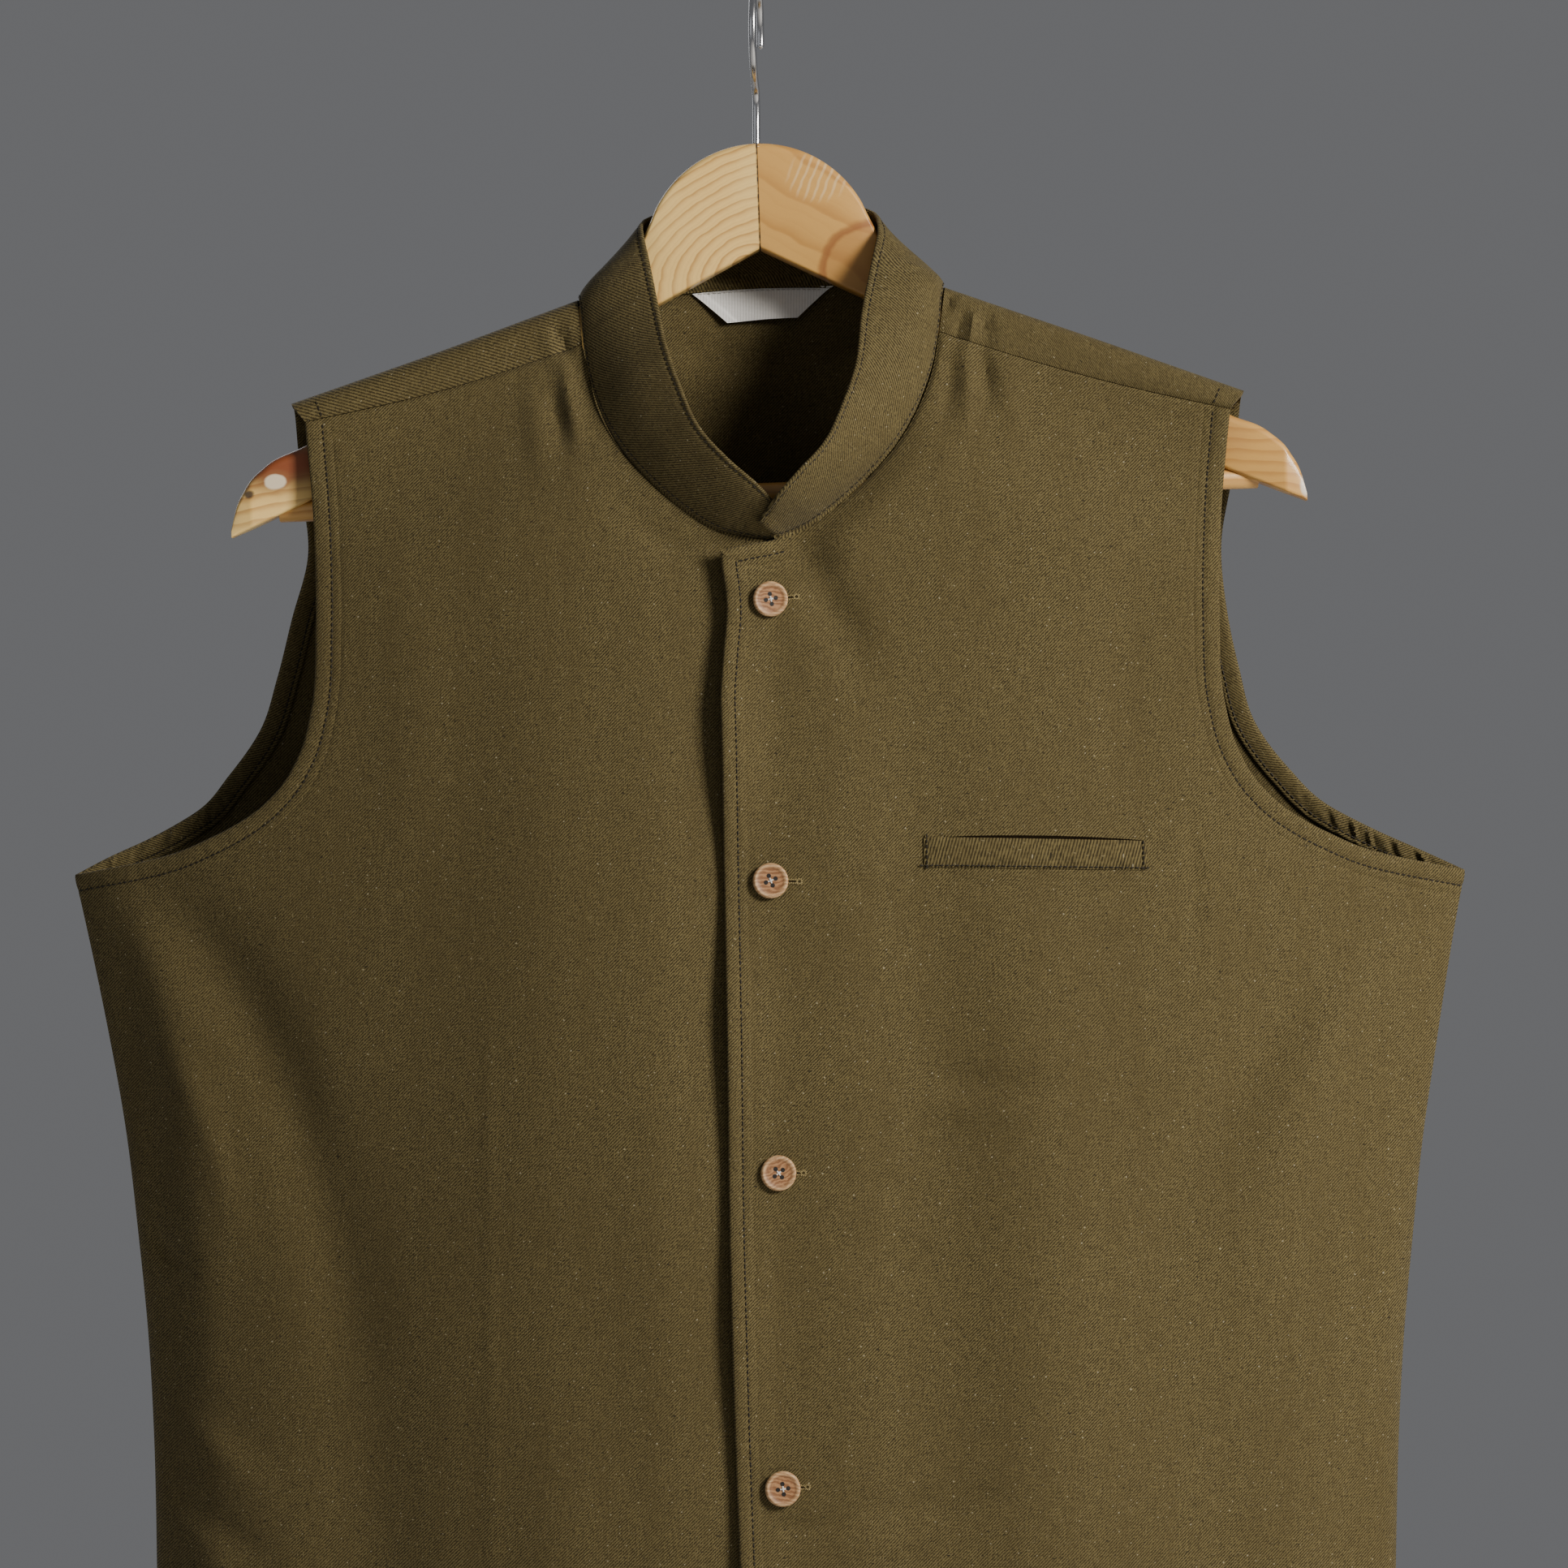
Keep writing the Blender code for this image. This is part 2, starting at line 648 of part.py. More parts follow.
def band_foot(side):
    """The collar's lower edge, on the neckline, from its front end to the middle of the back."""
    start = BAND_RIGHT_START if side > 0 else BAND_LEFT_START
    front = trace(((start, -234.8 if side > 0 else -236.6),) + NECKLINE[3:], 40)
    surface = over_y if side > 0 else under_y
    front_part = hang(side * front[:, 0], surface(side * front[:, 0], front[:, 1]), front[:, 1])
    if side < 0:
        front_part[:, 1] += BAND_UNDER_DROP * ease(-15.0, 10.0, front_part[:, 0])
    climb = np.linspace(0.0, 1.0, 14)[1:]
    half = mix(NECKLINE[-1][0], NECK_HALF, climb)
    rise = mix(NECKLINE[-1][1], NECK_POINT, 1.0 - (1.0 - climb) ** 1.7)
    crossing = hang(side * half, front_y(side * half, rise), rise)
    neck = NECK_HALF * np.sqrt(1.0 - np.linspace(0.0, 1.0, 40)[1:] ** 2)
    behind = hang(side * neck, back_y(side * neck, back_top(neck)), back_top(neck))
    foot = np.concatenate([front_part, crossing, behind])
    foot[:, 2] += BAND_GAP
    return trace(foot, BAND_STATIONS + 1)


def build_collar(material):
    """One band from the right front end, round the back of the neck, to the left end under it."""
    right_foot, right_top = band_foot(1), trace(BAND_TOP_RIGHT, BAND_STATIONS + 1)
    left_foot, left_top = band_foot(-1), trace(BAND_TOP_LEFT, BAND_STATIONS + 1)
    foot = np.concatenate([right_foot, left_foot[::-1][1:]])
    top = np.concatenate([right_top, left_top[::-1][1:]])
    run = np.gradient(0.5 * (foot + top), axis=0)
    aside = np.column_stack([run[:, 1], -run[:, 0], np.zeros(len(run))])
    aside /= np.linalg.norm(aside, axis=1, keepdims=True)
    rows = []
    for share in np.linspace(0.0, 1.0, BAND_ROWS):
        rows.append(mix(foot, top, share) + BAND_BULGE * math.sin(math.pi * share) * aside)
    outer = np.concatenate(rows)
    inner = outer - BAND_CLOTH * np.tile(aside, (BAND_ROWS, 1))
    quads = grid_quads(BAND_ROWS, len(foot))
    return wall("collar", outer, inner, quads, material)


def build_welt(tree, material):
    """The welt of the breast pocket, laid on the panel."""
    rows = []
    for share in (0.0, 0.5, 1.0):
        row = []
        for step in np.linspace(0.0, 1.0, WELT_STEPS + 1):
            across = mix(*WELT_ENDS, step)
            level = mix(*WELT_TOP, step) - mix(*WELT_HEIGHT, step) * (1.0 - share)
            place = hang(across, 0.0, level)
            row.append(laid_on(tree, place[0], place[2], -1.0, LAY_GAP + TRIM_CLOTH))
        rows.append(row)
    outer = np.array(rows).reshape(-1, 3)
    inner = outer + np.array((0.0, TRIM_CLOTH, 0.0))
    return wall("pocket_welt", outer, inner, grid_quads(3, WELT_STEPS + 1), material)


def build_label(tree, material):
    """The sewn label inside the back of the neck."""
    rows = []
    for share in np.linspace(0.0, 1.0, 3):
        row = []
        for step in np.linspace(-1.0, 1.0, 7):
            across = step * mix(LABEL_FOOT_HALF, LABEL_TOP_HALF, share)
            level = back_top(np.abs(across)) - LABEL_DROP - LABEL_HEIGHT * (1.0 - share)
            place = hang(across, 0.0, level)
            row.append(laid_on(tree, place[0], place[2], -1.0, LAY_GAP + TRIM_CLOTH))
        rows.append(row)
    outer = np.array(rows).reshape(-1, 3)
    inner = outer + np.array((0.0, TRIM_CLOTH, 0.0))
    return wall("label", outer, inner, grid_quads(3, 7), material)


def build_facing(name, tree, side, material):
    """The strip turned in along the back of an armhole."""
    levels = np.linspace(*FACING_ENDS, FACING_LEVELS + 1)
    half = smooth(BACK_ARMHOLE_RIGHT if side > 0 else BACK_ARMHOLE_LEFT, levels)
    edge = np.column_stack([half, levels])
    run = np.gradient(edge, axis=0)
    inwards = np.column_stack([-run[:, 1], run[:, 0]])
    inwards /= np.linalg.norm(inwards, axis=1, keepdims=True)
    rows = []
    for distance in (0.8, 0.5 * FACING_WIDTH, FACING_WIDTH):
        row = []
        for across, level in edge + distance * inwards:
            place = hang(side * across, 0.0, level)
            row.append(laid_on(tree, place[0], place[2], -1.0, LAY_GAP + TRIM_CLOTH))
        rows.append(row)
    outer = np.array(rows).reshape(-1, 3)
    inner = outer + np.array((0.0, TRIM_CLOTH, 0.0))
    quads = grid_quads(3, FACING_LEVELS + 1)
    if side < 0:
        quads = [tuple(reversed(quad)) for quad in quads]
    return wall(name, outer, inner, quads, material)


def button_mesh(material):
    """A turned button with four holes, its face towards -Y and its back at y = 0."""
    turned = BUTTON_PROFILE[1:-1]
    points = [(0.0, 0.0, 0.0)]
    for radius, height in turned:
        for k in range(BUTTON_SEGMENTS):
            angle = 2.0 * math.pi * k / BUTTON_SEGMENTS
            points.append((radius * math.cos(angle), -height, radius * math.sin(angle)))
    points.append((0.0, -BUTTON_PROFILE[-1][1], 0.0))
    faces = []
    for k in range(BUTTON_SEGMENTS):
        after = (k + 1) % BUTTON_SEGMENTS
        faces.append((0, 1 + k, 1 + after))
        for ring in range(len(turned) - 1):
            low, high = 1 + ring * BUTTON_SEGMENTS, 1 + (ring + 1) * BUTTON_SEGMENTS
            faces.append((low + k, high + k, high + after, low + after))
        high = 1 + (len(turned) - 1) * BUTTON_SEGMENTS
        faces.append((high + k, len(points) - 1, high + after))
    blank = add_object("button_blank", points, faces, material)
    drills = []
    for turn in range(4):
        angle = math.radians(10.0 + 90.0 * turn)
        centre = BUTTON_HOLE_OFFSET * math.cos(angle), BUTTON_HOLE_OFFSET * math.sin(angle)
        ring = []
        for y in (1.0, -4.0):
            for k in range(BUTTON_HOLE_SEGMENTS):
                around = 2.0 * math.pi * k / BUTTON_HOLE_SEGMENTS
                x = centre[0] + BUTTON_HOLE_RADIUS * math.cos(around)
                z = centre[1] + BUTTON_HOLE_RADIUS * math.sin(around)
                ring.append((x, y, z))
        n = BUTTON_HOLE_SEGMENTS
        sides = [(k, n + k, n + (k + 1) % n, (k + 1) % n) for k in range(n)]
        caps = [tuple(range(n)), tuple(reversed(range(n, 2 * n)))]
        drill = add_object(f"button_drill_{turn}", ring, sides + caps, material, flat=True)
        drill.hide_render = True
        drill.display_type = "WIRE"
        cut = blank.modifiers.new(f"hole_{turn}", "BOOLEAN")
        cut.object = drill
        cut.operation = "DIFFERENCE"
        drills.append(drill)
    graph = bpy.context.evaluated_depsgraph_get()
    mesh = bpy.data.meshes.new_from_object(blank.evaluated_get(graph))
    mesh.name = "button"
    for extra in drills + [blank]:
        bpy.data.objects.remove(extra)
    return mesh


def build_buttons(tree, material):
    """The row of buttons, resting on the front panel and tilted with it."""
    mesh = button_mesh(material)
    for number, (across, level) in enumerate(BUTTON_PLACES, 1):
        places = [hang(across, 0.0, level + lift) for lift in (-BUTTON_RADIUS, 0.0, BUTTON_RADIUS)]
        low, middle, high = (laid_on(tree, place[0], place[2], -1.0, 0.0) for place in places)
        steps = (-BUTTON_RADIUS, BUTTON_RADIUS)
        sides = [laid_on(tree, middle[0] + step, middle[2], -1.0, 0.0) for step in steps]
        nod = math.atan2(high[1] - low[1], high[2] - low[2])
        turn = math.atan2(sides[1][1] - sides[0][1], sides[1][0] - sides[0][0])
        button = bpy.data.objects.new(f"button_{number}", mesh)
        bpy.context.scene.collection.objects.link(button)
        rest = min(point[1] - 0.5 * (low[1] + high[1]) for point in (low, middle, high))
        y = 0.5 * (low[1] + high[1]) + min(rest, 0.0) - LAY_GAP
        y = min(y, 0.5 * (sides[0][1] + sides[1][1]) - LAY_GAP)
        button.location = (middle[0] * MM, y * MM, middle[2] * MM)
        button.rotation_euler = (-nod, 0.0, turn)


def arm_top(x):
    """Height of the arm's top edge."""
    if x <= BROW_END:
        return math.sqrt(BROW_RADIUS**2 - x * x) - BROW_RADIUS
    start = (BROW_END, math.sqrt(BROW_RADIUS**2 - BROW_END**2) - BROW_RADIUS)
    if x <= ARM_START[0]:
        a = start[0] - 2.0 * BROW_TO_ARM[0] + ARM_START[0]
        b = 2.0 * (BROW_TO_ARM[0] - start[0])
        t = (-b + math.sqrt(b * b - 4.0 * a * (start[0] - x))) / (2.0 * a)
        return mix(mix(start[1], BROW_TO_ARM[1], t), mix(BROW_TO_ARM[1], ARM_START[1], t), t)
    if x <= ARM_SHOULDER[0]:
        share = (x - ARM_START[0]) / (ARM_SHOULDER[0] - ARM_START[0])
        return mix(ARM_START[1], ARM_SHOULDER[1], share)
    return float(smooth(ARM_END_POINTS, x))


def arm_foot(x):
    """Height of the arm's lower edge: the notch, the slope, and the flatter run to the tip."""
    if x <= NOTCH_CORNER[0]:
        return mix(NOTCH_HEIGHT, NOTCH_CORNER[1], x / NOTCH_CORNER[0])
    if x <= ARM_HEEL[0]:
        return mix(NOTCH_CORNER[1], ARM_HEEL[1], (x - NOTCH_CORNER[0]) / (ARM_HEEL[0] - NOTCH_CORNER[0]))
    share = (x - ARM_HEEL[0]) / (ARM_TIP_FOOT[0] - ARM_HEEL[0])
    return mix(ARM_HEEL[1], ARM_TIP_FOOT[1], min(share, 1.0))


def on_hanger(x, y, z):
    """A point of the hanger, which hangs rolled a little about the top of its wood."""
    turned_x = x * math.cos(HANGER_ROLL) - z * math.sin(HANGER_ROLL)
    turned_z = x * math.sin(HANGER_ROLL) + z * math.cos(HANGER_ROLL)
    return turned_x, y, WOOD_TOP + turned_z


def build_arm(name, side, material):
    """One half of the hanger, from the joint in the middle to its tip."""
    stations = [0.5 * JOINT_GAP, 8, 16, 24, 31, 37, NOTCH_CORNER[0], 46, 51, 57, 64, 70, ARM_START[0]]
    stations += [90, 108, 126, 144, 162, 178, ARM_HEEL[0], 200, 209, 214, 218, 221, 222.6]
    sections = []
    for x in stations:
        top, foot = arm_top(x), arm_foot(x)
        round_by = min(WOOD_EDGE_ROUND, 0.3 * (top - foot))
        deep = WOOD_HALF_THICK * (1.0 if x < 214 else mix(1.0, 0.55, (x - 214) / 9.0))
        bow = float(arm_bow(x))
        ring = (
            (deep - round_by, top),
            (deep - 0.3 * round_by, top - 0.3 * round_by),
            (deep, top - round_by),
            (deep, foot + 0.4 * round_by),
            (deep - 0.4 * round_by, foot),
            (-deep + 0.4 * round_by, foot),
            (-deep, foot + 0.4 * round_by),
            (-deep, top - round_by),
            (-deep + 0.3 * round_by, top - 0.3 * round_by),
            (-deep + round_by, top),
        )
        sections.append([on_hanger(side * x, bow + y, z) for y, z in ring])
    count = len(sections[0])
    points = [point for section in sections for point in section]
    faces = [tuple(reversed(range(count))), tuple(range(len(points) - count, len(points)))]
    for s in range(len(sections) - 1):
        for k in range(count):
            after = (k + 1) % count
            faces.append((s * count + k, s * count + after, (s + 1) * count + after, (s + 1) * count + k))
    if side > 0:
        faces = [tuple(reversed(face)) for face in faces]
    arm = add_object(name, points, faces, material)
    ends = sorted((side * BORE_START, side * (BAR_HALF + BORE_GAP)))
    drill = add_object(f"{name}_drill", *rod(*ends, BAR_RADIUS + BORE_GAP), material, flat=True)
    drill.hide_render = True
    drill.display_type = "WIRE"
    bore = arm.modifiers.new("bore", "BOOLEAN")
    bore.object = drill
    bore.operation = "DIFFERENCE"
    return arm


def rod(start, end, radius):
    """Points and faces of a round rod across the hanger, at the bar's place."""
    y = float(arm_bow(BAR_BOW_AT))
    points = []
    for x in (start, end):
        for k in range(BAR_SIDES):
            angle = 2.0 * math.pi * k / BAR_SIDES
            points.append(on_hanger(x, y + radius * math.cos(angle), BAR_LEVEL + radius * math.sin(angle)))
    n = BAR_SIDES
    faces = [tuple(reversed(range(n))), tuple(range(n, 2 * n))]
    faces += [(k, (k + 1) % n, n + (k + 1) % n, n + k) for k in range(n)]
    return points, faces


def build_bar(material):
    """The round bar, each end in a bore that breaks out of the arm's lower edge."""
    return add_object("hanger_bar", *rod(-BAR_HALF, BAR_HALF, BAR_RADIUS), material)


def build_hook(material):
    """The bent wire hook, seen almost edge on, standing on the joint of the two arms."""
    stem = [(out, z) for out, z in HOOK_STEM]
    centre = WIRE_RADIUS - HOOK_RADIUS
    arc = []
    for k in range(HOOK_ARC_STEPS + 1):
        angle = mix(HOOK_START, HOOK_END, k / HOOK_ARC_STEPS)
        arc.append((HOOK_RADIUS * math.cos(angle), centre + HOOK_RADIUS * math.sin(angle)))
    route = trace(stem + arc, 44)
    curve = bpy.data.curves.new("hanger_hook", "CURVE")
    curve.dimensions = "3D"
    curve.bevel_depth = WIRE_RADIUS * MM
    curve.bevel_resolution = 2
    curve.use_fill_caps = True
    spline = curve.splines.new("POLY")
    spline.points.add(len(route) - 1)
    for point, (out, z) in zip(spline.points, route):
        point.co = (-out * math.sin(HOOK_TURN) * MM, -out * math.cos(HOOK_TURN) * MM, z * MM, 1.0)
    curve.materials.append(material)
    made = bpy.data.objects.new("hanger_hook", curve)
    bpy.context.scene.collection.objects.link(made)
    return made


def main():
    for old in list(bpy.data.objects):
        bpy.data.objects.remove(old)
    finish = {name: make_material(name) for name in FINISHES}
    cloth = finish["olive_cloth"]
    over_tree = build_front("front_left", 1, cloth)
    build_front("front_right", -1, cloth)
    back_inside = build_back(cloth)
    build_collar(cloth)
    build_welt(over_tree, cloth)
    build_label(back_inside, finish["label_cloth"])
    build_facing("armhole_facing_left", back_inside, 1, cloth)
    build_facing("armhole_facing_right", back_inside, -1, cloth)
    build_buttons(over_tree, finish["button_wood"])
    build_arm("hanger_arm_left", -1, finish["hanger_wood"])
    build_arm("hanger_arm_right", 1, finish["hanger_wood"])
    build_bar(finish["hanger_wood"])
    build_hook(finish["hook_steel"])


main()
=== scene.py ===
"""A sleeveless nehru jacket with a band collar, on a two-part wooden hanger, dressed over its solids.

Lengths are in millimetres until a mesh is made. A point of the jacket is given by "across", its distance
to the right of the middle line, and "level", its height from the seat of the hook, which is negative
below it. A height is counted outwards from the cloth's outer face. The shape functions and their tables
are those of the solids, on finer grids, apart from the collar's fuller top edge.
"""

import math

import bpy
import numpy as np
from mathutils import Euler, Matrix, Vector


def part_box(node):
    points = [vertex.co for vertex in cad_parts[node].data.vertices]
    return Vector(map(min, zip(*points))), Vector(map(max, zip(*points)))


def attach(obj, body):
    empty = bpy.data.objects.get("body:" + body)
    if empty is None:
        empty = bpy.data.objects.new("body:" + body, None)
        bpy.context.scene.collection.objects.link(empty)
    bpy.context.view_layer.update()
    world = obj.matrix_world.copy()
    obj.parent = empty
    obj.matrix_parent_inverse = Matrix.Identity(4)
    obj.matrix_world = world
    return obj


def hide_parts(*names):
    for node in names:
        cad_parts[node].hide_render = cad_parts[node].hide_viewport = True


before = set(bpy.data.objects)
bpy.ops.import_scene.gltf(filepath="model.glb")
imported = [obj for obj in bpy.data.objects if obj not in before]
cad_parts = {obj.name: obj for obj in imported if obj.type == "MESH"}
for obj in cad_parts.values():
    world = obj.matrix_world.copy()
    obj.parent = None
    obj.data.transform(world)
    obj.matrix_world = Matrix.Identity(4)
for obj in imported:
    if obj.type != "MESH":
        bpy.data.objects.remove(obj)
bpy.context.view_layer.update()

MM = 0.001

# The jacket's own sizes
CLOTH = 1.5
BAND_CLOTH = 1.6
SEAM_GAP = 0.3
HEM = -848.0
ARMPIT = -371.0
NECK_POINT = -130.0
BACK_NECK = -123.6
NECK_HALF = 76.5
CHEST_HALF = 290.0
SHOULDER_HALF = 197.5
SHOULDER_FALL = 0.363

SIDE_SEAM = (
    (-848, 259.5),
    (-660, 258.5),
    (-604, 259.8),
    (-565, 261.9),
    (-524, 265.7),
    (-480, 270.6),
    (-440, 277.0),
    (-400, 284.2),
    (-371, 290.0),
)
FRONT_ARMHOLE = (
    (-371, 290.0),
    (-364, 254.0),
    (-355, 230.0),
    (-346.5, 214.5),
    (-335.5, 202.0),
    (-322, 193.5),
    (-303, 188.0),
    (-268, 186.0),
    (-228, 187.0),
    (-182, 191.0),
)
BACK_ARMHOLE_LEFT = (
    (-371, 290.0),
    (-364, 277.0),
    (-355.5, 259.0),
    (-344.5, 240.2),
    (-329, 226.6),
    (-310, 213.6),
    (-288, 206.4),
    (-262, 199.9),
    (-235, 193.0),
    (-209, 195.0),
    (-173.9, 197.5),
)
BACK_ARMHOLE_RIGHT = (
    (-371, 290.0),
    (-364, 275.0),
    (-355.5, 256.0),
    (-344.5, 235.0),
    (-329, 218.6),
    (-310, 204.7),
    (-288, 198.2),
    (-262, 192.8),
    (-235, 190.5),
    (-209, 194.2),
    (-173.9, 197.5),
)
OVERLAP_EDGE = (
    (-848, -12.0),
    (-655, -14.4),
    (-621, -15.7),
    (-511, -18.4),
    (-379, -18.3),
    (-312, -18.7),
    (-297, -19.0),
    (-280, -17.6),
    (-262, -15.0),
    (-239, -16.0),
)
UNDERLAP = 24.0
NECKLINE = (
    (-16.0, -238.6),
    (-4.0, -236.3),
    (5.0, -234.8),
    (18.5, -230.3),
    (32.5, -220.6),
    (45.5, -208.8),
    (56.8, -195.6),
    (65.3, -181.0),
    (70.9, -166.0),
    (74.0, -149.3),
)
UNDER_NECK_START = (-24.0, -239.0)
SEAM_END = (191.0, -182.0)
SEAM_DIP = 2.4
MIDDLE_LINE = ((-848, 8.0), (-520, 8.0), (-462, 7.5), (-371, 5.6), (-123, 4.6))
NECK_MIDDLE = 1.7
TILT_LIFT = 2.7
FRONT_DEPTH = (
    (-848, 70.0),
    (-500, 66.0),
    (-371, 60.0),
    (-300, 53.0),
    (-235, 46.0),
    (-195, 42.0),
    (-123, 36.0),
)
BACK_DEPTH = ((-848, 44.0), (-500, 39.0), (-371, 32.0), (-300, 27.0), (-235, 24.0), (-123, 22.0))
BODY_ROUNDNESS = ((-848, 0.60), (-500, 0.68), (-371, 0.75), (-123, 0.75))
ROLL_RADIUS = 12.0
ROLL_POWER = 2.5
ROLL_BLEND = 90.0
BACK_NECK_DEPTH = 22.0
BACK_NECK_POWER = 2.6

# Broad folds: side, start, middle and end as across and level, half width, height outwards
FOLDS = (
    ("front", (-254, -380), (-196, -424), (-176, -560), 15, -4.6),
    ("front", (-268, -392), (-236, -440), (-236, -570), 17, 4.6),
    ("front", (-275, -420), (-262, -470), (-258, -540), 9, -2.5),
    ("front", (-43, -262), (-44, -450), (-40, -700), 24, 4.5),
    ("front", (-172, -480), (-168, -620), (-158, -850), 26, -5.0),
    ("front", (-240, -590), (-232, -720), (-222, -850), 22, 4.5),
    ("front", (-88, -600), (-86, -720), (-84, -850), 24, 3.5),
    ("front", (262, -385), (196, -425), (160, -520), 14, -3.5),
    ("front", (250, -405), (214, -450), (200, -540), 16, 4.0),
    ("front", (60, -300), (66, -450), (70, -640), 24, -3.0),
    ("front", (108, -400), (112, -560), (116, -850), 28, 4.0),
    ("front", (176, -560), (180, -700), (186, -850), 26, -4.0),
    ("back", (-120, -230), (-132, -480), (-136, -850), 34, 5.0),
    ("back", (122, -230), (136, -480), (140, -850), 34, 5.0),
    ("back", (4, -260), (2, -520), (0, -850), 30, -4.0),
    ("back", (-252, -390), (-214, -470), (-204, -640), 16, -4.0),
    ("back", (254, -388), (216, -470), (208, -640), 16, -4.0),
    ("back", (-70, -560), (-66, -700), (-64, -850), 24, -4.0),
    ("back", (74, -540), (70, -700), (68, -850), 24, -3.5),
)
SEAM_QUIET = 30.0
TOP_QUIET = 55.0

# Creases and small folds on top of them, in the same columns
CREASES = (
    ("front", (-85, -141), (-82.6, -148), (-80, -155), 2.6, -2.7),
    ("front", (-90, -142), (-88, -149), (-86.5, -156), 2.4, 1.4),
    ("front", (-77.3, -154), (-72.5, -167), (-65, -181), 3.0, -2.7),
    ("front", (-86.5, -172), (-84.1, -183), (-81, -193), 3.4, -2.2),
    ("front", (-82, -157), (-80, -172), (-75, -188), 3.0, 2.6),
    ("front", (-97, -166), (-94, -182), (-90, -204), 5.0, 1.4),
    ("front", (79.6, -133), (77.8, -137), (76, -142), 2.2, -2.9),
    ("front", (84.6, -139), (82.8, -147), (81, -154), 2.8, -2.2),
    ("front", (87.8, -139), (87.0, -147), (86.0, -154), 2.6, 1.4),
    ("front", (92.4, -139), (92.6, -147), (91.8, -154), 3.0, -1.9),
    ("front", (90.6, -158), (92.4, -168), (93.6, -178), 3.0, -2.9),
    ("front", (85, -158), (85.6, -172), (84.6, -190), 3.0, 2.4),
    ("front", (78.2, -158), (78.6, -172), (75, -190), 2.8, -1.9),
    ("front", (100, -160), (102, -176), (103, -196), 5.0, 1.3),
    ("front", (-12, -245), (9, -248.5), (30, -243), 4.6, -2.7),
    ("front", (-8, -253), (10, -256.5), (34, -252), 5.0, 1.4),
    ("front", (12, -237), (35, -221), (56, -194), 8.5, -5.5),
    ("front", (12, -228), (26, -256), (38, -288), 10, -4.8),
    ("front", (-84, -250), (-84, -400), (-86, -620), 42, 8.0),
    ("front", (64, -454), (84, -459), (110, -456), 6.5, -2.4),
    ("front", (68, -466), (90, -469), (112, -463), 6.0, 1.6),
    ("front", (31.2, -506), (31.6, -519), (32.4, -530), 1.3, -1.0),
    ("front", (32.4, -530), (44, -530.6), (58, -531), 1.3, -1.0),
    ("front", (30, -524), (46, -523), (62, -525), 6.0, -1.1),
    ("front", (173.4, -346), (174, -380), (174, -414), 3.0, -0.9),
    ("front", (60, -376), (104, -379), (150, -378), 5.0, -1.0),
    ("front", (-6, -632), (9, -637), (24, -635), 4.0, -1.6),
    ("front", (26, -632), (54, -629), (84, -622), 6.0, -2.0),
    ("front", (30, -643), (58, -641), (88, -633), 6.0, 1.4),
    ("front", (16, -374), (34, -377), (54, -384), 5.0, -1.0),
    ("front", (17, -492), (36, -494), (58, -499), 5.0, -0.9),
    ("front", (20, -750), (44, -756), (72, -752), 6.0, -1.5),
    ("front", (-250, -626), (-234, -638), (-212, -652), 8.0, -2.5),
    ("front", (-246, -596), (-230, -611), (-212, -624), 8.0, 2.2),
    ("front", (-252, -660), (-238, -700), (-236, -760), 10, -2.2),
    ("front", (-116, -424), (-116, -560), (-113, -840), 2.6, 0.5),
    ("front", (-262, -518), (-255, -528), (-244, -535), 5.0, -2.5),
    ("front", (-250, -446), (-232, -470), (-222, -520), 7.0, 1.5),
    ("front", (-60, -216), (-44, -232), (-26, -243), 6.0, -1.4),
    ("front", (-150, -240), (-140, -300), (-150, -360), 16, 1.5),
    ("front", (150, -230), (142, -300), (150, -345), 16, -1.6),
    ("front", (246, -590), (232, -640), (230, -730), 11, -2.0),
    ("front", (262, -520), (252, -560), (246, -610), 8.0, 1.5),
    ("back", (-150, -196), (-122, -236), (-96, -300), 11, 2.2),
    ("back", (152, -194), (126, -238), (98, -306), 11, 2.1),
    ("back", (-46, -148), (0, -156), (50, -149), 6.0, 1.5),
    ("back", (-40, -162), (4, -171), (46, -163), 7.0, -1.6),
    ("back", (-244, -352), (-214, -384), (-196, -440), 8.0, -2.2),
    ("back", (246, -350), (216, -386), (200, -446), 8.0, -2.4),
    ("back", (-30, -420), (20, -432), (66, -424), 10, -1.8),
    ("back", (-96, -600), (-92, -700), (-98, -846), 8.0, 1.8),
    ("back", (110, -580), (104, -700), (100, -846), 9.0, 1.9),
    ("back", (-226, -560), (-214, -620), (-210, -700), 8.0, 1.8),
    ("back", (232, -570), (220, -640), (216, -720), 8.0, 1.6),
)

# How the front's edge stands away from the panel under it: level, height
EDGE_STAND = (
    (-848, 3.0),
    (-800, 4.0),
    (-745, 2.0),
    (-690, 4.5),
    (-620, 2.2),
    (-555, 4.8),
    (-491, 2.6),
    (-425, 5.5),
    (-374, 1.6),
    (-310, 8.0),
    (-259, 5.0),
    (-239, 5.5),
)
EDGE_STAND_WIDTH = 26.0
OVERLAP_RISE = 1.6
OVERLAP_ENDS = (28.0, 60.0)
UNDERLAP_DROP = 0.6
UNDERLAP_STARTS = (-50.0, -18.0)

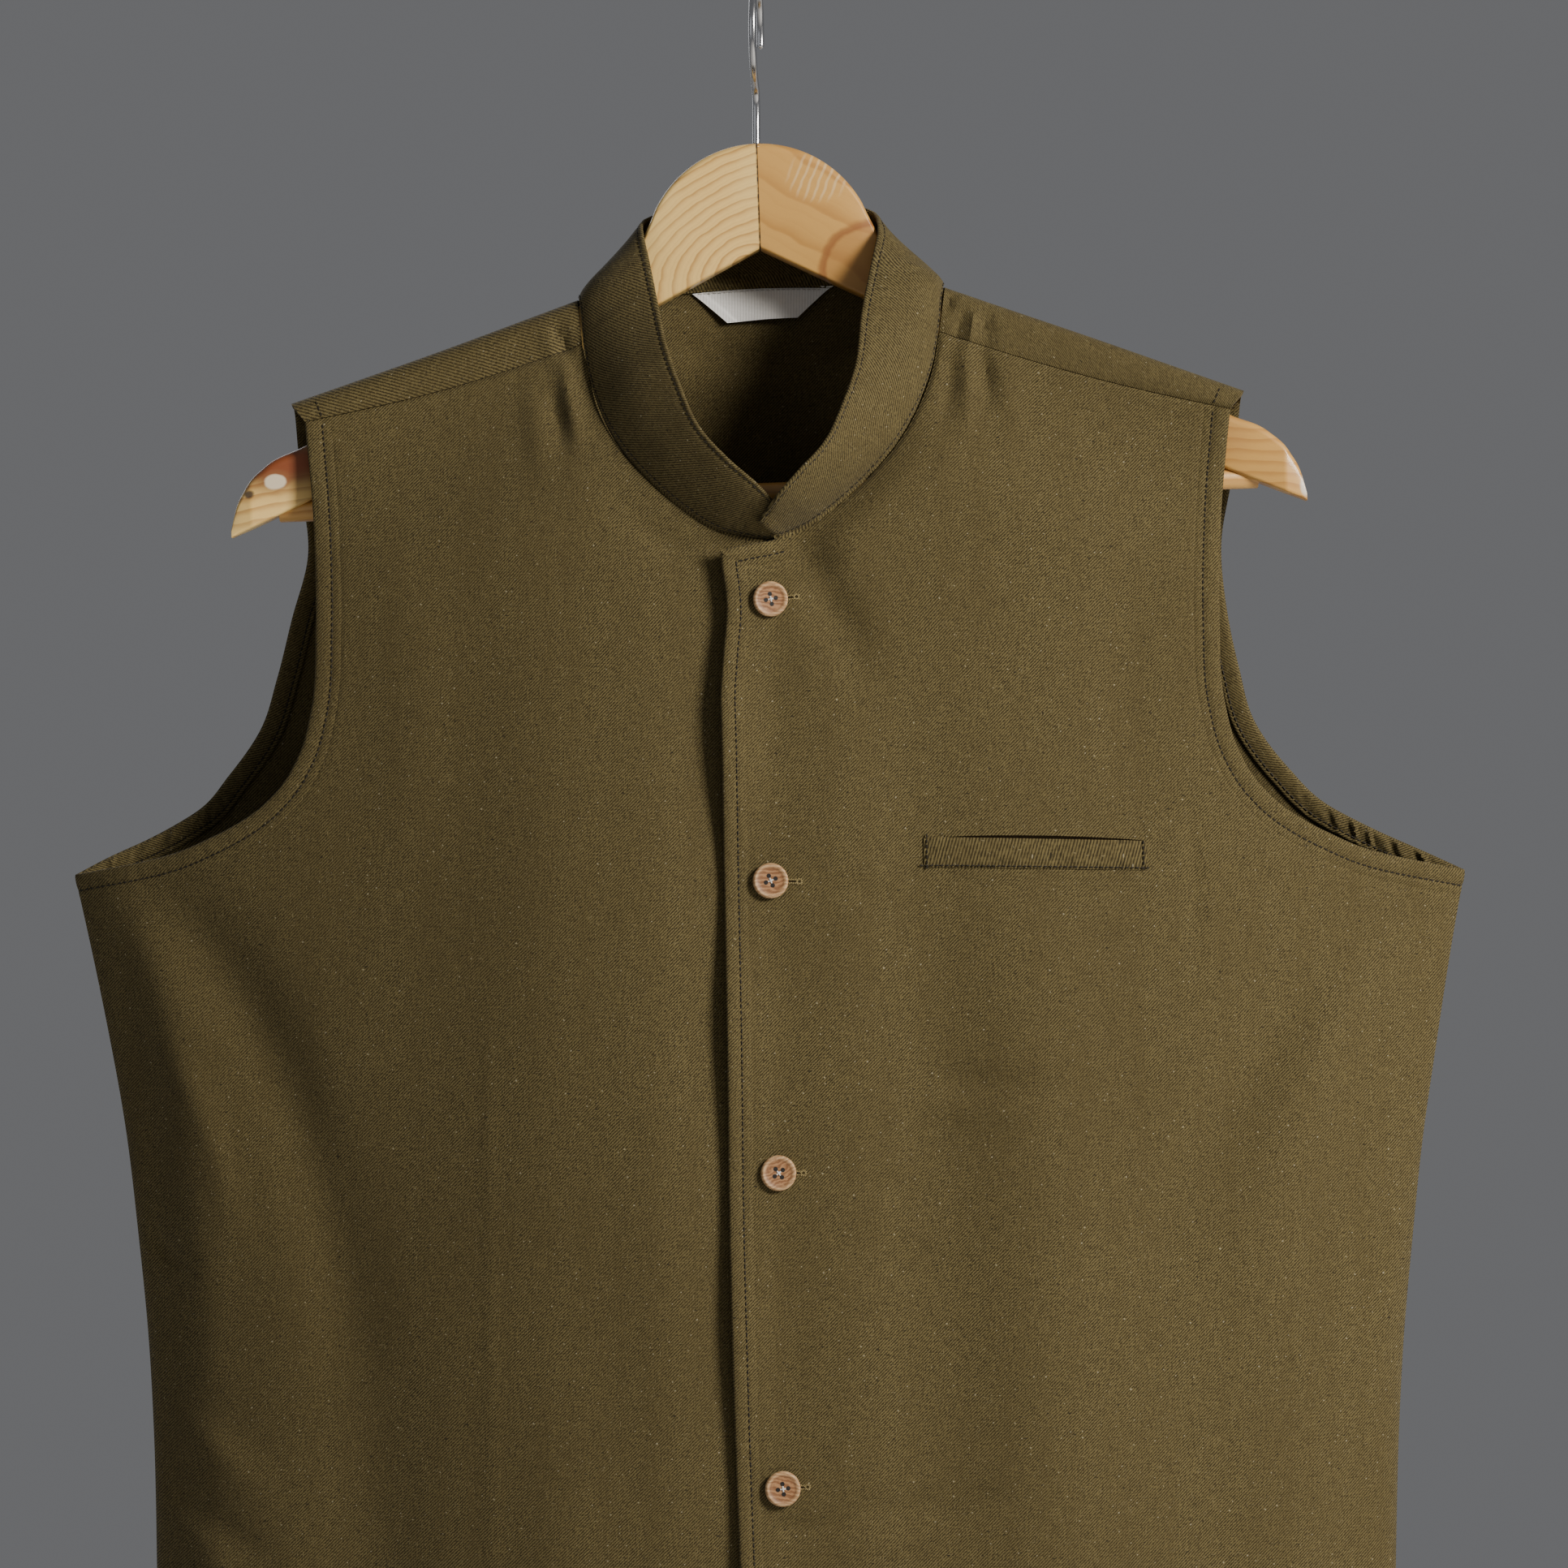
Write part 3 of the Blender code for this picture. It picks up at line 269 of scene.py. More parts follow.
# The band collar's top edge from its front end to the middle of the back: x, y, z
BAND_TOP_RIGHT = (
    (1.0, -56.0, -228.2),
    (4.3, -60.5, -223.8),
    (6.7, -64.5, -220.9),
    (8.6, -67.0, -218.5),
    (18.0, -69.0, -207.8),
    (27.7, -65.5, -196.7),
    (36.0, -56.5, -178.3),
    (40.7, -47.5, -163.8),
    (43.7, -32.5, -139.0),
    (48.1, -19.5, -116.7),
    (51.0, -11.0, -104.8),
    (50.9, -2.5, -98.2),
    (49.2, 6.0, -94.5),
    (42.0, 11.0, -91.5),
    (24.0, 16.0, -88.5),
    (1.5, 18.0, -87.5),
)
BAND_TOP_LEFT = (
    (10.0, -57.0, -222.0),
    (6.6, -61.0, -219.1),
    (0.4, -63.5, -212.8),
    (-10.5, -63.5, -203.3),
    (-22.9, -58.5, -189.4),
    (-31.2, -49.5, -170.9),
    (-37.1, -41.0, -153.4),
    (-40.7, -31.0, -136.2),
    (-45.1, -18.5, -114.7),
    (-47.5, -11.0, -105.4),
    (-48.1, -3.5, -100.8),
    (-46.0, 6.0, -97.2),
    (-39.0, 11.0, -94.0),
    (-21.0, 16.0, -90.0),
    (1.5, 18.0, -87.5),
)
BAND_RIGHT_START = 7.4
BAND_LEFT_START = -6.0
BAND_UNDER_DROP = 2.4
BAND_BULGE = 2.2
BAND_FULL = 6.0
BAND_FULL_LEFT = 2.2
BAND_FULL_AT = 72.0
BAND_GAP = 1.0
BAND_STITCH = 2.1
BAND_TURN_FROM = 2.6
BAND_TURN_IN = 0.9
BAND_TURN_DOWN = 3.2

# Stitching and turned edges
STITCH_PITCH = 2.5
STITCH_GAP = 0.42
STITCH_RADIUS = 0.36
ARMHOLE_STITCH = 7.0
EDGE_STITCH = 5.8
HEM_STITCH = 20.0
CORNER_MITRE = 0.85
UNDER_BORDER = 0.8
PANEL_INSET = 0.6

# Buttons: node, across and level of the eyelet from the button's middle
BUTTON_PLACES = ((2.8, -259.2), (0.3, -373.6), (1.3, -491.6), (2.5, -618.8), (3.6, -745.0))
EYELETS = ((10.9, 0.9), (11.8, -0.4), (10.3, -0.1), (10.2, 0.4), (10.4, 0.0))
BUTTON_TURNS = (12.0, 22.0, 38.0, 8.0, 30.0)
BUTTON_PROFILE = (
    (0.0, 0.0),
    (6.0, 0.0),
    (6.75, 0.22),
    (7.12, 0.7),
    (7.25, 1.3),
    (7.15, 1.9),
    (6.85, 2.35),
    (6.4, 2.58),
    (5.95, 2.55),
    (5.45, 2.3),
    (4.9, 2.1),
    (4.2, 2.02),
    (0.0, 2.0),
)
BUTTON_HOLE_RADIUS = 0.85
BUTTON_HOLE_OFFSET = 2.1

# Breast welt: across of its ends, level of its top, height of it at both ends
WELT_ENDS = (62.5, 154.1)
WELT_TOP = (-356.9, -358.7)
WELT_HEIGHT = (12.5, 12.1)

# Label inside the back of the neck
LABEL_TOP_HALF = 30.0
LABEL_FOOT_HALF = 15.0
LABEL_HEIGHT = 14.5
LABEL_DROP = 0.9
LABEL_ASIDE = 0.8
LABEL_TILT = 0.035

# Strip turned in along the back of an armhole
FACING_ENDS = (-369.0, -196.0)

# The hanger, about its own middle and below the top of its wood
WOOD_TOP = -67.4
HANGER_ROLL = math.radians(2.0)
WOOD_HALF_THICK = 6.5
WOOD_EDGE_ROUND = 3.5
BROW_RADIUS = 48.6
BROW_END = 43.0
ARM_START = (75.5, -64.9)
ARM_SHOULDER = (193.0, -121.0)
BROW_TO_ARM = (56.5, -58.5)
ARM_END_POINTS = ((193.0, -121.0), (208.0, -128.4), (216.5, -137.5), (221.0, -147.0), (223.0, -156.0))
NOTCH_HEIGHT = -44.0
NOTCH_CORNER = (42.0, -65.4)
ARM_HEEL = (191.0, -143.6)
ARM_TIP_FOOT = (222.6, -157.4)
ARM_REACH = 223.0
ARM_BOW = 16.0
JOINT_GAP = 0.04
BAR_RADIUS = 4.7
BAR_LEVEL = -146.7
BAR_HALF = 203.0
BAR_BOW_AT = 197.0
WIRE_RADIUS = 1.55
HOOK_RADIUS = 22.65
HOOK_TURN = math.radians(4.0)
HOOK_STEM = ((0.0, -66.95), (0.0, -60.0), (0.0, -54.0), (0.9, -49.0), (3.6, -45.0), (8.2, -42.3))
HOOK_START = math.radians(-62.0)
HOOK_END = math.radians(189.0)

# Colours of the cloth
CLOTH_DARK = (0.024, 0.0168, 0.0050)
CLOTH_LIGHT = (0.166, 0.128, 0.0480)
CLOTH_SHADE = (0.066, 0.047, 0.0150)
CLOTH_SLUB = (0.27, 0.22, 0.11)
CLOTH_SPECK = (0.42, 0.37, 0.24)
CLOTH_FLECK = (0.012, 0.009, 0.004)

# Camera and lights
EYE = (0.0115, -2.2, -0.3343)
SENSOR = 36.0
HALF_VIEW = 0.14872


def ease(low, high, value):
    """0 below low, 1 above high, and a smooth step between."""
    share = np.clip((np.asarray(value, float) - low) / (high - low), 0.0, 1.0)
    return share * share * (3.0 - 2.0 * share)


def mix(first, second, share):
    return first + (second - first) * share


def smooth(table, key):
    """The second column of the table at key, on a smooth curve through its rows, whose first column rises."""
    knots, values = np.array(table, float).T
    slopes = np.gradient(values, knots)
    key = np.clip(np.asarray(key, float), knots[0], knots[-1])
    low = np.clip(np.searchsorted(knots, key, side="right") - 1, 0, len(knots) - 2)
    span = knots[low + 1] - knots[low]
    t = (key - knots[low]) / span
    rise = t * t * (3.0 - 2.0 * t)
    leave = t * (1.0 - t) ** 2 * span * slopes[low]
    arrive = t * t * (t - 1.0) * span * slopes[low + 1]
    return mix(values[low], values[low + 1], rise) + leave + arrive


def lengths_of(line):
    """Distance along a line to each of its points."""
    return np.r_[0.0, np.cumsum(np.linalg.norm(np.diff(line, axis=0), axis=1))]


def at_lengths(line, places):
    """Points of a line at these distances along it."""
    lengths = lengths_of(line)
    return np.stack([np.interp(places, lengths, column) for column in line.T], axis=-1)


def trace(points, count):
    """count points evenly spaced along a smooth curve through points."""
    points = np.array(points, float)
    steps = lengths_of(points)
    fine = np.linspace(0.0, steps[-1], 1200)
    dense = np.column_stack([smooth(np.column_stack([steps, column]), fine) for column in points.T])
    return at_lengths(dense, np.linspace(0.0, lengths_of(dense)[-1], count))


def half_width(level):
    return np.where(np.asarray(level) < ARMPIT, smooth(SIDE_SEAM, level), CHEST_HALF)


def shoulder_line(half):
    return NECK_POINT - SHOULDER_FALL * np.maximum(half - NECK_HALF, 0.0)


def back_top(half):
    """Level of the back's top edge: the back neckline, then the fold over the shoulder."""
    inside = BACK_NECK + (NECK_POINT - BACK_NECK) * (np.minimum(half, NECK_HALF) / NECK_HALF) ** 2
    return np.where(half < NECK_HALF, inside, shoulder_line(half))


def forward_seam(half):
    """Level of the shoulder seam, which lies a little in front of the fold."""
    start = NECKLINE[-1]
    share = np.clip((half - start[0]) / (SEAM_END[0] - start[0]), 0.0, 1.0)
    return mix(start[1], SEAM_END[1], share) - SEAM_DIP * np.sin(math.pi * share)


def arm_bow(half):
    """How far the hanger's arms, and the shoulders on them, come forward."""
    return -ARM_BOW * (half / ARM_REACH) ** 2


def roll_round(drop):
    share = np.clip(drop / ROLL_RADIUS, 0.0, 1.0)
    return (1.0 - (1.0 - share) ** ROLL_POWER) ** (1.0 / ROLL_POWER)


def body_depth(depths, half, level):
    share = np.clip(half / half_width(level), 0.0, 1.0)
    return smooth(depths, level) * (1.0 - share**2) ** smooth(BODY_ROUNDNESS, level)


def gap_to(line, across, level):
    """Squared distance to a line, and how far along it the nearest place is, from 0 to 1."""
    line = np.asarray(line, float)
    nearest = np.full(np.shape(across), 1e12)
    along = np.zeros(np.shape(across))
    for number, (start, end) in enumerate(zip(line, line[1:])):
        run = end - start
        share = np.clip(((across - start[0]) * run[0] + (level - start[1]) * run[1]) / (run @ run), 0.0, 1.0)
        gap = (across - start[0] - share * run[0]) ** 2 + (level - start[1] - share * run[1]) ** 2
        closer = gap < nearest
        along = np.where(closer, (number + share) / (len(line) - 1), along)
        nearest = np.where(closer, gap, nearest)
    return nearest, along


def folds(table, side, across, level, steps):
    """Height outwards of the folds in a table."""
    across, level = np.broadcast_arrays(np.asarray(across, float), np.asarray(level, float))
    relief = np.zeros(across.shape)
    t = np.linspace(0.0, 1.0, steps)[:, None]
    for fold_side, start, middle, end, width, height in table:
        if fold_side != side:
            continue
        start, middle, end = np.array(start, float), np.array(middle, float), np.array(end, float)
        line = mix(mix(start, middle, t), mix(middle, end, t), t)
        reach = 3.0 * width
        low, high = line.min(axis=0) - reach, line.max(axis=0) + reach
        near = (across > low[0]) & (across < high[0]) & (level > low[1]) & (level < high[1])
        gap, along = gap_to(line, across[near], level[near])
        relief[near] += height * np.sin(math.pi * (0.12 + 0.76 * along)) * np.exp(-gap / width**2)
    return relief


def unevenness(across, level):
    """The gentle lie of cloth that was pressed and then hung."""
    broad = np.sin(across / 31.0 + level / 87.0 + 1.3) * np.sin(level / 43.0 - across / 120.0 + 0.4)
    fine = np.sin(across / 12.5 - level / 29.0 + 2.0) * np.sin(level / 17.0 + across / 38.0)
    return 0.42 * broad + 0.13 * fine


def lie(side, across, level):
    """All that lifts a panel off its plain shape, none of it at the side seams."""
    to_seam = half_width(level) - np.abs(across)
    to_top = shoulder_line(np.abs(across)) - level
    broad = folds(FOLDS, side, across, level, 9)
    broad = broad * ease(0.0, SEAM_QUIET, to_seam) * ease(0.0, TOP_QUIET, to_top)
    small = folds(CREASES, side, across, level, 7) + unevenness(across, level) * ease(0.0, 20.0, to_top)
    return broad + small * ease(0.0, 12.0, to_seam)


def front_y(across, level):
    half = np.abs(across)
    drop = shoulder_line(half) - level
    near = arm_bow(half) - ROLL_RADIUS * roll_round(drop)
    body = -body_depth(FRONT_DEPTH, half, level)
    return mix(near, body, ease(0.0, ROLL_BLEND, drop)) - lie("front", across, level)


def over_y(across, level):
    """The panel on top, whose front edge rises off the panel under it."""
    stand = smooth(EDGE_STAND, level)
    from_edge = across - smooth(OVERLAP_EDGE, level)
    lift = stand * (1.0 - ease(0.0, EDGE_STAND_WIDTH, from_edge)) ** 1.5
    rise = OVERLAP_RISE * (1.0 - ease(*OVERLAP_ENDS, across))
    return front_y(across, level) - lift - rise


def under_y(across, level):
    return front_y(across, level) + UNDERLAP_DROP * ease(*UNDERLAP_STARTS, across)


def back_y(across, level):
    half = np.abs(across)
    drop = back_top(half) - level
    share = np.minimum(half, NECK_HALF) / NECK_HALF
    at_fold = arm_bow(np.maximum(half, NECK_HALF))
    edge = at_fold + (BACK_NECK_DEPTH - at_fold) * (1.0 - share**BACK_NECK_POWER) ** 0.625
    rolled = at_fold + ROLL_RADIUS
    full = rolled + (BACK_NECK_DEPTH + 2.0 - rolled) * (1.0 - share**2) ** 0.7
    near = mix(edge, full, roll_round(drop))
    body = body_depth(BACK_DEPTH, half, level)
    return mix(near, body, ease(0.0, ROLL_BLEND, drop)) + lie("back", across, level)


def hang(across, y, level):
    """The point in space, with the jacket's sway and the tilt of its shoulders."""
    across, level = np.asarray(across, float), np.asarray(level, float)
    half = np.abs(across)
    at_neck = ease(-290.0, -235.0, level) * (1.0 - ease(60.0, 150.0, half))
    middle = mix(smooth(MIDDLE_LINE, level), NECK_MIDDLE, at_neck)
    tilt = TILT_LIFT * np.clip(across / NECK_HALF, -1.0, 1.0)
    tilt = tilt * mix(0.42, 1.0, ease(ARMPIT, -230.0, level)) * ease(-480.0, -360.0, level)
    return np.stack(np.broadcast_arrays(across + middle, y, level + tilt), axis=-1)


def on_cloth(surface, facing, across, level, height):
    """The point that stands height off a panel's outer face. facing is 1 at the front and -1 at the back."""
    across, level = np.broadcast_arrays(np.asarray(across, float), np.asarray(level, float))
    step = 0.5
    right, left = across + step, across - step
    over, below = level + step, level - step
    run = hang(right, surface(right, level), level) - hang(left, surface(left, level), level)
    rise = hang(across, surface(across, over), over) - hang(across, surface(across, below), below)
    normal = facing * np.cross(run, rise)
    normal /= np.linalg.norm(normal, axis=-1, keepdims=True)
    return hang(across, surface(across, level), level) + np.asarray(height)[..., None] * normal, normal


def grid_quads(rows, columns, first=0):
    quads = []
    for r in range(rows - 1):
        low = first + r * columns
        high = low + columns
        quads += [(low + c, low + c + 1, high + c + 1, high + c) for c in range(columns - 1)]
    return quads


def outward(points, quads):
    """A unit normal at each point, from the faces round it."""
    quads = np.array(quads)
    corners = points[quads]
    normals = np.cross(corners[:, 2] - corners[:, 0], corners[:, 3] - corners[:, 1])
    total = np.zeros_like(points)
    for corner in range(4):
        np.add.at(total, quads[:, corner], normals)
    return total / np.maximum(np.linalg.norm(total, axis=1, keepdims=True), 1e-9)


class Block:
    """Points, faces and a place on the flat cloth for each point, to be joined into a piece."""

    def __init__(self, points, faces, flat=None, paint=0):
        self.points = np.asarray(points, float).reshape(-1, 3)
        self.faces = list(faces)
        self.flat = self.points[:, [0, 2]] if flat is None else np.asarray(flat, float).reshape(-1, 2)
        self.paint = paint
        if self.volume() < 0.0:
            self.faces = [tuple(reversed(face)) for face in self.faces]

    def volume(self):
        total = 0.0
        by_size = {}
        for face in self.faces:
            by_size.setdefault(len(face), []).append(face)
        for size, faces in by_size.items():
            corners = self.points[np.array(faces)]
            for k in range(1, size - 1):
                total += np.einsum("ij,ij->", corners[:, 0], np.cross(corners[:, k], corners[:, k + 1]))
        return total


def wall(outer, inner, quads, flat=None, paint=0):
    """A closed cloth wall between two sets of points that share their faces."""
    count = len(outer)
    edges = {(quad[i], quad[(i + 1) % 4]) for quad in quads for i in range(4)}
    rim = [(b, a, a + count, b + count) for a, b in sorted(edges) if (b, a) not in edges]
    back = [tuple(corner + count for corner in reversed(quad)) for quad in quads]
    if flat is not None:
        flat = np.concatenate([flat, flat])
    return Block(np.concatenate([outer, inner]), list(quads) + back + rim, flat, paint)


def make_piece(name, blocks, finishes, replaced=(), sharp=40.0):
    """One piece of the scene from its blocks. It rides on the only body."""
    firsts = np.cumsum([0] + [len(block.points) for block in blocks])
    faces = [
        tuple(corner + int(first) for corner in face)
        for first, block in zip(firsts, blocks)
        for face in block.faces
    ]
    mesh = bpy.data.meshes.new(name)
    points = np.concatenate([block.points for block in blocks]) * MM
    mesh.from_pydata(points.tolist(), [], faces)
    flat = np.concatenate([block.flat for block in blocks]) * MM
    corners = np.empty(len(mesh.loops), np.int32)
    mesh.loops.foreach_get("vertex_index", corners)
    cut = mesh.uv_layers.new(name="cut")
    cut.data.foreach_set("uv", flat[corners].astype(np.float32).ravel())
    for finish in finishes:
        mesh.materials.append(finish)
    paint = np.concatenate([np.full(len(block.faces), block.paint, np.int32) for block in blocks])
    mesh.polygons.foreach_set("material_index", paint)
    mesh.shade_smooth()
    mesh.set_sharp_from_angle(angle=math.radians(sharp))
    made = bpy.data.objects.new(name, mesh)
    bpy.context.scene.collection.objects.link(made)
    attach(made, "root")
    if replaced:
        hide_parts(*replaced)
    return made


def inwards_of(line):
    """Unit directions to the left of a line's run, which is the side that the panel is on."""
    run = np.gradient(line, axis=0)
    run /= np.linalg.norm(run, axis=1, keepdims=True)
    return np.column_stack([-run[:, 1], run[:, 0]])


def armhole_line(table, top, count):
    """An armhole's edge on the viewer's right, from the armpit up."""
    levels = np.linspace(ARMPIT, top, 1500)
    dense = np.column_stack([smooth(table, levels), levels])
    return at_lengths(dense, np.linspace(0.0, lengths_of(dense)[-1], count))


def back_armhole(side):
    return BACK_ARMHOLE_RIGHT if side > 0 else BACK_ARMHOLE_LEFT


def front_edge_line():
    """The edge of the panel on top, from its corner at the neck down, so that the panel is to its left."""
    levels = np.linspace(NECKLINE[0][1], HEM, 500)
    line = np.column_stack([smooth(OVERLAP_EDGE, levels), levels])
    return round_corner(line)


def neck_edge_line():
    """The short top edge of the panel on top, from under the collar to its corner."""
    line = trace(NECKLINE[:4], 60)[::-1]
    line = line[line[:, 0] < 9.0]
    return round_corner(line[::-1])[::-1]


def round_corner(line, radius=3.0):
    """Draws a line in a little towards its start, where it meets another at a corner."""
    lengths = lengths_of(line)
    share = np.clip(1.0 - lengths / radius, 0.0, 1.0)
    return line + inwards_of(line) * (0.42 * radius * (1.0 - np.sqrt(1.0 - share**2)))[:, None]


def front_grid(side):
    """Across and level of each point of a front, rows from the hem up, columns from the buttons outwards."""
    if side > 0:
        start = (NECKLINE[0][0] + PANEL_INSET, NECKLINE[0][1] - PANEL_INSET)
        others = NECKLINE[1:]
        columns = 48
    else:
        start, others, columns = UNDER_NECK_START, NECKLINE[1:], 50
    neck = trace((start,) + others, columns)
    half = np.linspace(others[-1][0], SEAM_END[0] - PANEL_INSET, 70)[1:]
    top = np.concatenate([neck, np.column_stack([half, forward_seam(half)])])
    seam_column = columns - 1
    if side > 0:
        top[:, 1] -= PANEL_INSET * (1.0 - ease(4.0, 10.0, top[:, 0]))
    armhole = armhole_line(FRONT_ARMHOLE, SEAM_END[1], 96)
    armhole = armhole + PANEL_INSET * inwards_of(armhole)
    levels = np.r_[np.linspace(HEM + PANEL_INSET, ARMPIT - 3.0, 176), armhole[:-3, 1]]
    outer = np.r_[half_width(levels[:176]), armhole[:-3, 0]]
    last_steps = np.array((5.0, 3.5, 2.4, 1.6, 0.9, 0.4, 0.0))
    levels = np.r_[levels, SEAM_END[1] - last_steps]
    outer = np.r_[outer, smooth(FRONT_ARMHOLE, SEAM_END[1] - last_steps) - PANEL_INSET]
    order = np.argsort(levels)
    levels, outer = levels[order], outer[order]
    shares = (levels - HEM) / (SEAM_END[1] - HEM)
    top_share = (top[:, 0] - top[0, 0]) / (top[-1, 0] - top[0, 0])
    even = np.linspace(0.0, 1.0, len(top))
    hem_share = 0.5 * even + 0.5 * np.sin(0.5 * math.pi * even)
    across, level = [], []
    for share, last in zip(shares, outer):
        row_level = HEM + (top[:, 1] - HEM) * share
        if side > 0:
            first = float(smooth(OVERLAP_EDGE, row_level[0])) + PANEL_INSET
        else:
            first = -UNDERLAP
        across.append(mix(first, last, mix(hem_share, top_share, ease(0.3, 1.0, share))))
        level.append(row_level)
    across, level = np.array(across), np.array(level)
    level[-1, seam_column:] -= 0.5 * SEAM_GAP
    return across, level


def under_borders(across, level, lines):
    """How far a panel dips under the turned edges that lie on it, each a line and its stitch's distance."""
    dip = np.zeros(across.shape)
    for line, stitch in lines:
        gap, _ = gap_to(line[:: max(1, len(line) // 60)], across, level)
        dip = np.maximum(dip, UNDER_BORDER * (1.0 - ease(stitch + 1.6, stitch + 4.4, np.sqrt(gap))))
    return dip


def front_panel(side):
    """The panel itself, with the dips along its seams."""
    across, level = front_grid(side)
    surface = over_y if side > 0 else under_y
    y = surface(side * across, level)
    below = level[:, -1] <= ARMPIT + 0.1
    y[:, -1] -= 0.5 * SEAM_GAP * below
    lines = [(armhole_line(FRONT_ARMHOLE, SEAM_END[1], 200), ARMHOLE_STITCH)]
    lines.append((np.array(((-30.0, HEM), (300.0, HEM))), HEM_STITCH))
    if side > 0:
        lines += [(front_edge_line(), EDGE_STITCH), (neck_edge_line(), EDGE_STITCH)]
    dip = under_borders(across, level, lines)
    half = np.linspace(NECKLINE[-1][0], SEAM_END[0], 30)
    seam = np.concatenate([trace(NECKLINE[3:], 30), np.column_stack([half, forward_seam(half)])])
    gap, _ = gap_to(seam, across, level)
    dip = np.maximum(dip, 0.8 * (1.0 - ease(0.0, 1.9, np.sqrt(gap))))
    rows, columns = across.shape
    points = hang(side * across, y, level).reshape(-1, 3)
    quads = grid_quads(rows, columns)
    if side < 0:
        quads = [tuple(reversed(quad)) for quad in quads]
    normals = outward(points, quads)
    pins = np.flatnonzero(below) * columns + columns - 1
    normals[pins] = (side, 0.0, 0.0)
    dip.ravel()[pins] = 0.0
    flat = np.column_stack([side * across.ravel(), level.ravel()])
    return wall(points - dip.reshape(-1, 1) * normals, points - CLOTH * normals, quads, flat)


def back_panel():
    """The back, which comes over the shoulders to the forward seams."""
    neck = NECK_HALF * np.sin(np.linspace(0.0, 0.5 * math.pi, 26)) ** 0.8
    seam_half = np.linspace(NECKLINE[-1][0], SEAM_END[0], 50)
    seam_share = (seam_half - seam_half[0]) / (seam_half[-1] - seam_half[0])
    fold_half = mix(NECK_HALF, SHOULDER_HALF, seam_share)
    half = np.r_[neck, fold_half[1:]]
    top_across = np.r_[-half[::-1], half[1:]]
    top_level = back_top(np.abs(top_across))
    tip = BACK_ARMHOLE_RIGHT[-1][0]
    armhole = armhole_line(BACK_ARMHOLE_RIGHT, tip, 84)
    armhole = armhole + PANEL_INSET * inwards_of(armhole)
    last_steps = np.array((16.0, 13.0, 10.5, 8.5, 6.8, 5.4, 4.2, 3.2, 2.3, 1.6, 1.0, 0.55, 0.25, 0.08, 0.0))
    below = np.linspace(HEM + PANEL_INSET, ARMPIT - 3.0, 150)
    sides = armhole[armhole[:, 1] < tip - 18.0]
    levels = np.r_[below, sides[:, 1], tip - last_steps]
    outer = np.r_[half_width(below), sides[:, 0], smooth(BACK_ARMHOLE_RIGHT, tip - last_steps)]
    order = np.argsort(levels)
    levels, outer = levels[order], outer[order]
    wider = smooth(BACK_ARMHOLE_LEFT, levels) - smooth(BACK_ARMHOLE_RIGHT, levels)
    even = np.linspace(-1.0, 1.0, len(top_across))
    hem_share = 0.5 * even + 0.5 * np.sin(0.5 * math.pi * even)
    across, level = [], []
    for outer_level, last, more in zip(levels, outer, wider):
        share = (outer_level - HEM) / (tip - HEM)
        level.append(HEM + (top_level - HEM) * share)
        spread = mix(hem_share, top_across / SHOULDER_HALF, ease(0.3, 1.0, share))
        across.append(np.where(spread < 0.0, last + more, last) * spread)
    across, level = np.array(across), np.array(level)
    y = back_y(across, level)
    seamed = level[:, 0] <= ARMPIT + 0.1
    for column in (0, -1):
        y[:, column] += 0.5 * SEAM_GAP * seamed
    rows, columns = across.shape
    points = [hang(across, y, level).reshape(-1, 3)]
    flat = [np.column_stack([across.ravel(), level.ravel()])]
    quads = [tuple(reversed(quad)) for quad in grid_quads(rows, columns)]
    flap_shares = (np.arange(1, 15) / 14.0) ** 1.5
    wide = len(fold_half)
    middle = len(top_across) // 2
    for side in (-1, 1):
        first = sum(len(block) for block in points)
        flap_half = mix(fold_half[None, :], seam_half[None, :], flap_shares[:, None])
        seam_level = forward_seam(seam_half) + 0.5 * SEAM_GAP
        flap_level = mix(shoulder_line(fold_half)[None, :], seam_level[None, :], flap_shares[:, None])
        flap_across = side * flap_half
        points.append(hang(flap_across, front_y(flap_across, flap_level), flap_level).reshape(-1, 3))
        over_fold = 2.0 * back_top(flap_half) - flap_level
        flat.append(np.column_stack([flap_across.ravel(), over_fold.ravel()]))
        top_middle = (rows - 1) * columns + middle
        fold_row = [top_middle + side * (len(neck) - 1 + k) for k in range(wide)]
        table = [fold_row] + [[first + r * wide + c for c in range(wide)] for r in range(len(flap_shares))]
        for upper, lower in zip(table, table[1:]):
            for c in range(wide - 1):
                quad = (upper[c], lower[c], lower[c + 1], upper[c + 1])
                quads.append(quad if side > 0 else tuple(reversed(quad)))
    points = np.concatenate(points)
    lines = []
    for side in (-1, 1):
        line = armhole_line(back_armhole(side), -178.0, 200) * (side, 1.0)
        lines.append((line, ARMHOLE_STITCH))
    lines.append((np.array(((-300.0, HEM), (300.0, HEM))), HEM_STITCH))
    dip = np.zeros(len(points))
    dip[: rows * columns] = under_borders(across, level, lines).ravel()
    for number in range(2):
        first = rows * columns + number * wide * len(flap_shares)
        for row, depth in ((len(flap_shares) - 1, 0.8), (len(flap_shares) - 2, 0.15)):
            dip[first + row * wide : first + (row + 1) * wide] = depth
    normals = outward(points, quads)
    for column, side in ((0, -1.0), (columns - 1, 1.0)):
        pins = np.flatnonzero(seamed) * columns + column
        normals[pins] = (side, 0.0, 0.0)
        dip[pins] = 0.0
    return wall(points - dip[:, None] * normals, points - CLOTH * normals, quads, np.concatenate(flat))


